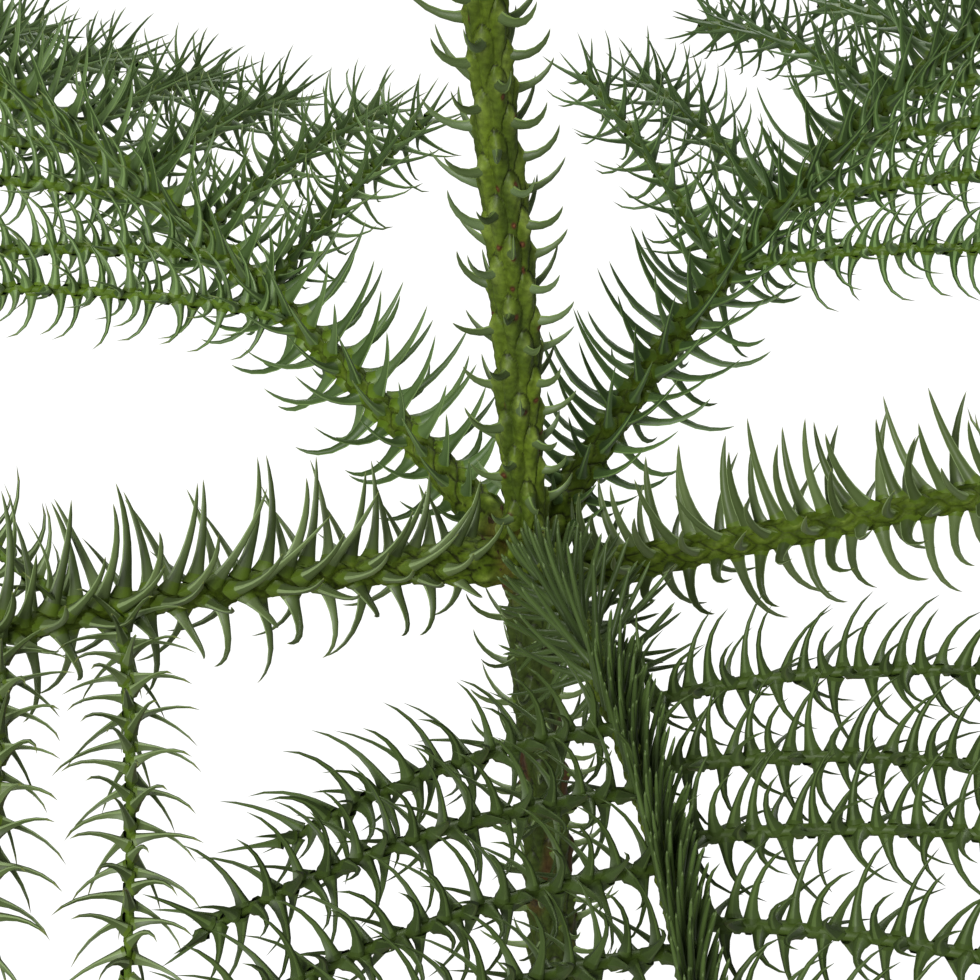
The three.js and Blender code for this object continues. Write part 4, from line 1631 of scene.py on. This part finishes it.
@dataclass
class Pot:
    """A plain clay pot and the potting mix in it.

    The pot widens from `foot` to `neck`, under a thicker `band` that starts at `band_low`. Its wall and floor are
    `wall` and `floor` thick, its corners are rounded over `edge`, and its turned surface waves by `wobble`. The mix
    starts `soil_lift` above the floor and `soil_gap` clear of the wall. It falls by `soil_drop` to the wall, and
    its surface lies `lump_room` under `soil_level`, so that only its lumps reach that. `chips` pieces of bark and
    peat fall on it, and those within `chip_clear` of the axis or `chip_margin` of the wall are left out.
    """

    palette: Palette
    height: float = 150.0
    foot: float = 56.0
    neck: float = 78.0
    band: float = 84.0
    band_low: float = 124.0
    wall: float = 6.0
    floor: float = 9.0
    edge: float = 1.6
    soil_level: float = 139.0
    soil_drop: float = 4.0
    soil_gap: float = 0.5
    soil_lift: float = 0.4
    lump_room: float = 0.7
    wobble: float = 0.12
    chips: int = 900
    chip_clear: float = 11.0
    chip_margin: float = 3.0
    columns: int = 144

    def build(self) -> None:
        """Makes the pot's and the soil's pieces."""
        profile = self._rounded([
            (0, 0), (self.foot - self.edge, 0), (self.foot, self.edge), (self.neck, self.band_low - 2),
            (self.band - self.edge, self.band_low), (self.band, self.band_low + self.edge),
            (self.band, self.height - self.edge), (self.band - self.edge, self.height),
            (self.band - self.wall + self.edge, self.height), (self.band - self.wall, self.height - self.edge),
            (self.foot - self.wall + 1, self.floor), (0, self.floor),
        ])
        points, faces = self._turned(profile)
        out = np.hypot(points[:, 0], points[:, 1])
        wave = self.wobble * ripple(points * [0.06, 0.06, 1], scale=7, seed=2) * np.clip(out / 40, 0, 1)
        points[:, :2] *= (1 + wave / np.maximum(out, 20))[:, None]
        surface = Surface()
        surface.add(points, faces)
        surface.piece("pot_clay", [self.palette.clay], Slot.CLAY, ["pot"])
        self._soil()

    @staticmethod
    def _rounded(corners: list[tuple[float, float]]) -> np.ndarray:
        """Rounds a profile: its corners are cut `near` away, and then twice more at a quarter of each side.

        Args:
            corners: (radius, height) from axis to axis.

        Returns:
            The finer profile.
        """
        near, largest_share = 1.2, 0.45
        line = np.asarray(corners, float)
        gaps = np.linalg.norm(np.diff(line, axis=0), axis=1)
        fine = [line[0]]
        for start, end, gap in zip(line[:-1], line[1:], gaps):
            share = min(largest_share, near / gap)
            fine += [start + (end - start) * share, start + (end - start) * (1 - share)]
        line = np.vstack([*fine, line[-1]])
        for _ in range(2):
            cut = np.stack([line[:-1] * 0.75 + line[1:] * 0.25, line[:-1] * 0.25 + line[1:] * 0.75], 1).reshape(-1, 2)
            line = np.vstack([line[:1], cut, line[-1:]])
        return line

    def _turned(self, profile: np.ndarray) -> tuple[np.ndarray, np.ndarray]:
        """Turns a profile about the upright axis.

        Args:
            profile: (radius, height) from axis to axis.

        Returns:
            Points and triangles of the closed solid.
        """
        inner, turn = profile[1:-1], ring_angles(self.columns)
        rings = np.stack([inner[:, :1] * np.cos(turn), inner[:, :1] * np.sin(turn),
                          np.repeat(inner[:, 1:], self.columns, 1)], -1)
        points, faces, _ = capped_tube(rings)
        return points, faces

    def _soil_radius(self, height: float) -> float:
        """Half width of the mix, just inside the pot's slanting wall.

        Args:
            height: height above the ground.

        Returns:
            The radius in millimetres.
        """
        low, rim = self.foot - self.wall + 1, self.band - self.wall
        slant = (rim - low) * (height - self.floor) / (self.height - self.floor - self.edge)
        return low + slant - self.soil_gap

    def _soil(self) -> None:
        """Makes the lumpy potting mix, with chips of bark on it."""
        edge, middle = self.soil_level - self.soil_drop, self.soil_level - self.lump_room
        inside = self.floor + self.soil_lift
        side = [(self._soil_radius(h), h) for h in np.linspace(inside, edge, 6)]
        top_radius = self._soil_radius(edge)
        top = [(top_radius * a, edge + (middle - edge) * (1 - a**3)) for a in np.linspace(1, 0.012, 60)[1:]]
        profile = np.array([(0, inside), *side, *top, (0, middle)])
        points, faces = self._turned(profile)
        out = np.hypot(points[:, 0], points[:, 1])
        on_top = (points[:, 2] > edge - 0.01) & (out < top_radius - 1)
        level = points * [1, 1, 0]
        lumps = 0.9 * ripple(level, scale=9, seed=31) + 0.6 * ripple(level, scale=3.4, seed=32)
        points[:, 2] += np.where(on_top, lumps * ramp(out, 6, 20), 0)
        surface = Surface()
        surface.add(points, faces)
        surface.piece("potting_mix", [self.palette.soil], Slot.SOIL, ["potting_soil"])
        self._chips(points[on_top], top_radius)

    def _chips(self, ground: np.ndarray, reach: float) -> None:
        """Scatters crumbs and chips over the mix, each a tilted block of `sides` corners above and below.

        Args:
            ground: points of its top.
            reach: radius within which they lie.
        """
        rng, sides = np.random.default_rng(12), 6
        picks = ground[rng.integers(0, len(ground), self.chips)]
        out = np.hypot(picks[:, 0], picks[:, 1])
        picks = picks[(out > self.chip_clear) & (out < reach - self.chip_margin)]
        count = len(picks)
        turn = rng.uniform(0, 2 * np.pi, (count, 1)) + np.arange(sides)[None] * np.pi / 3
        size = rng.uniform(0.7, 2.6, (count, 1)) * np.where(rng.random((count, 1)) < 0.25, 1.5, 0.8)
        spread = size * rng.uniform(0.7, 1.2, (count, sides))
        tilt = rng.normal(0, 0.3, (count, 2))
        x, y = spread * np.cos(turn), spread * np.sin(turn) * rng.uniform(0.45, 1, (count, 1))
        slope = x * tilt[:, :1] + y * tilt[:, 1:]
        thick = size * rng.uniform(0.25, 0.5, (count, 1))
        rings = np.stack([np.stack([x, y, slope - thick], -1), np.stack([x * 0.8, y * 0.8, slope + thick], -1)], 1)
        rings += (picks + [0, 0, 0.2])[:, None, None, :]
        points = np.concatenate([rings.reshape(count, -1, 3), rings.mean(2)], 1)
        faces = capped_faces(2, sides)
        every = faces[None] + (np.arange(count) * points.shape[1])[:, None, None]
        kinds = np.repeat((rng.random(count) < 0.5).astype(int), len(faces))
        surface = Surface()
        surface.add(points, every, kinds)
        surface.piece("bark_chips", self.palette.chips, Slot.SOIL, ["potting_soil"])


# ---------------------------------------------------------------------------------------------------------
# Studio
# ---------------------------------------------------------------------------------------------------------
@dataclass(frozen=True)
class Studio:
    """White seamless ground, even light from all round, and a camera close to the lowest tier.

    The picture is `picture` pixels wide and high, of `mm_per_pixel` each in the plane through the tier, which lies
    at `tier_pixel` of it, counted from the left and from the top. The soft lights are given by name, place in
    metres, side in metres and watts.
    """

    growth: Growth
    mm_per_pixel: float = 0.15
    distance: float = 520.0
    elevation: float = 37.0
    picture: int = 980
    tier_pixel: tuple[float, float] = (522.0, 548.0)
    sensor: float = 36.0
    floor_reach: float = 12.0
    floor_grey: float = 0.12
    floor_glow: float = 0.93
    room_light: float = 0.29
    lamps: tuple[tuple, ...] = (("front softbox", (-0.62, -1.46, 1.4), 0.8, 77),
                                ("back softbox", (0.45, 1.1, 1.45), 0.7, 32))
    lit_spot: tuple[float, float, float] = (0, 0, 0.4)

    def build(self) -> None:
        """Sets up ground, light and camera."""
        self._ground()
        self._light()
        self._camera()
        scene = bpy.context.scene
        scene.view_settings.view_transform = "Standard"
        scene.view_settings.look = "None"
        scene.view_settings.exposure = 0.0

    def _ground(self) -> None:
        """Makes a white floor that glows enough to stay white under the plant."""
        mesh, reach = bpy.data.meshes.new("white_floor"), self.floor_reach
        corners = [(-reach, -reach, 0), (reach, -reach, 0), (reach, reach, 0), (-reach, reach, 0)]
        mesh.from_pydata(corners, [], [(0, 1, 2, 3)])
        floor = bpy.data.objects.new("white_floor", mesh)
        bpy.context.scene.collection.objects.link(floor)
        material, shader = new_material("white seamless paper", 0.9, 0.0)
        shader.inputs["Base Color"].default_value = (self.floor_grey,) * 3 + (1,)
        shader.inputs["Emission Color"].default_value = (1, 1, 1, 1)
        shader.inputs["Emission Strength"].default_value = self.floor_glow
        mesh.materials.append(material)
        floor.visible_glossy = False

    def _light(self) -> None:
        """Lights the plant evenly, with a large soft source above the camera and another behind."""
        world = bpy.data.worlds.new("white room")
        bpy.context.scene.world = world
        world.use_nodes = True
        backdrop = world.node_tree.nodes["Background"]
        backdrop.inputs["Color"].default_value = (1, 1, 1, 1)
        backdrop.inputs["Strength"].default_value = self.room_light
        for lamp in self.lamps:
            self._lamp(*lamp)

    def _lamp(self, name: str, place: tuple[float, float, float], size: float, power: float) -> None:
        """Adds a square soft light that faces the plant's lowest tier.

        Args:
            name: its name.
            place: where it stands, in metres.
            size: its side in metres.
            power: watts.
        """
        lamp = bpy.data.lights.new(name, "AREA")
        lamp.shape, lamp.size, lamp.energy = "SQUARE", size, power
        made = bpy.data.objects.new(name, lamp)
        bpy.context.scene.collection.objects.link(made)
        made.location = place
        aim = Vector(self.lit_spot) - Vector(place)
        made.rotation_euler = aim.to_track_quat("-Z", "Y").to_euler()

    def _camera(self) -> None:
        """Looks down on the lowest tier from the front, with the trunk a little right of the middle."""
        tilt = math.radians(self.elevation)
        right = np.array([1.0, 0, 0])
        ahead = np.array([0, math.cos(tilt), -math.sin(tilt)])
        up = np.cross(right, ahead)
        tier = self.growth.trunk.centre(LOWEST_TIER.height)
        half = self.picture / 2
        aside = (half - self.tier_pixel[0]) * right + (self.tier_pixel[1] - half) * up
        place = (tier + aside * self.mm_per_pixel - ahead * self.distance) * MM
        lens = bpy.data.cameras.new("close camera")
        lens.sensor_width = self.sensor
        lens.lens = self.sensor * self.distance / (self.picture * self.mm_per_pixel)
        lens.clip_start, lens.clip_end = 0.01, 50
        camera = bpy.data.objects.new("close camera", lens)
        bpy.context.scene.collection.objects.link(camera)
        turn = Matrix((right, up, -ahead)).transposed()
        camera.matrix_world = Matrix.Translation(Vector(place)) @ turn.to_4x4()
        bpy.context.scene.camera = camera


# ---------------------------------------------------------------------------------------------------------
# Kinds of needle, and the whole plant
# ---------------------------------------------------------------------------------------------------------
# On the bare stretch of the lowest boughs, and finer on their side shoots.
BARE_NEEDLE = NeedleForm(spacing=0.88, length=15.0, wide=0.66, narrow=0.5, stance=103, upper=9, curl=47, under=21,
                         flank=0.42, section=Section.RIDGED, tuft=14, crowding=1.05, short_root=22, bald=5, flare=2.9,
                         skirt=0.13, shares=(0, 0.04, 0.1, 0.19, 0.32, 0.46, 0.61, 0.75, 0.86, 0.94, 1))
SIDE_NEEDLE = NeedleForm(spacing=0.96, length=11.0, wide=0.35, narrow=0.29, stance=91, upper=0, curl=64, under=4,
                         late=1.1, hook=0.3, rising=0.06, flank=0.0, flare=3.4, skirt=0.16,
                         shares=(0, 0.05, 0.13, 0.26, 0.42, 0.6, 0.8, 1))
# The front bough's dense fan near the trunk, then more spread out, then short and upright on its spray.
FAN_NEEDLE = replace(BARE_NEEDLE, spacing=0.52, length=13.4, wide=0.6, narrow=0.5, blunt=0.55, stance=98, curl=26,
                     under=10, gather=0.3, flank=0.6, crowding=1.15, short_root=34, shortest=0.4, bald=7,
                     section=Section.SOFT, flare=2.3, skirt=0.1, shares=(0, 0.06, 0.2, 0.4, 0.6, 0.8, 0.93, 1))
SPLAY_NEEDLE = replace(FAN_NEEDLE, flank=0.35, shortest=0.62, short_root=22)
SHORT_NEEDLE = replace(FAN_NEEDLE, length=9.5, wide=0.5, narrow=0.42, stance=92, curl=32, upright=4, short_root=0)
# Broader blades with slimmer feet on the right bough, and hooked ones on the side shoots at the back.
RIGHT_NEEDLE = replace(BARE_NEEDLE, wide=0.7, flare=2.3, skirt=0.11)
HOOKED_NEEDLE = replace(SIDE_NEEDLE, spacing=0.88, length=10.8, curl=76, stance=95, hook=0.9)
OWN_NEEDLES = {"front": ((0, FAN_NEEDLE), (24, SPLAY_NEEDLE), (58, SHORT_NEEDLE)), "right": ((0, RIGHT_NEEDLE),)}
OWN_SIDES = {"left_back": HOOKED_NEEDLE, "right_back": HOOKED_NEEDLE}
# How far the lowest boughs' bark stands off the solids, and how large the needles of each upper tier are.
LOWEST_SKIN = 0.28
UPPER_SIZES = (0.85, 0.74, 0.66)


def upper_needles(size: float) -> tuple[NeedleForm, NeedleForm]:
    """Plainer needles of an upper tier.

    Args:
        size: their size beside those of the lowest tier.

    Returns:
        The needles of its boughs and of its side shoots.
    """
    bare = NeedleForm(spacing=0.95, length=13.5 * size, wide=0.62 * size, narrow=0.5 * size, short_root=12,
                      shares=(0, 0.14, 0.4, 0.72, 0.92, 1))
    side = NeedleForm(spacing=0.9, length=11 * size, wide=0.44 * size, narrow=0.36 * size, stance=78, upper=2,
                      curl=44, under=14, section=Section.PLAIN, shares=(0, 0.16, 0.5, 0.85, 1))
    return bare, side


def main() -> None:
    """Builds the plant, its pot and the studio."""
    logging.basicConfig(level=logging.INFO, format="%(name)s %(message)s")
    growth, palette = Growth(), Palette()
    Pot(palette).build()
    Trunk(growth, palette).build()
    # The front bough wears the painted-shade greens.
    greens = {"front": palette.deep_needles, "left_back": palette.fresh_needles, "right_back": palette.back_needles}
    BoughSet(growth, palette, LOWEST_TIER, BARE_NEEDLE, SIDE_NEEDLE, CLOSE_UP, LOWEST_SKIN, OWN_NEEDLES, OWN_SIDES,
             greens).build()
    for tier, size in zip(TIERS[1:], UPPER_SIZES):
        BoughSet(growth, palette, tier, *upper_needles(size), DISTANT).build()
    TopShoot(growth, palette).build()
    Studio(growth).build()


if __name__ == "__main__":
    main()
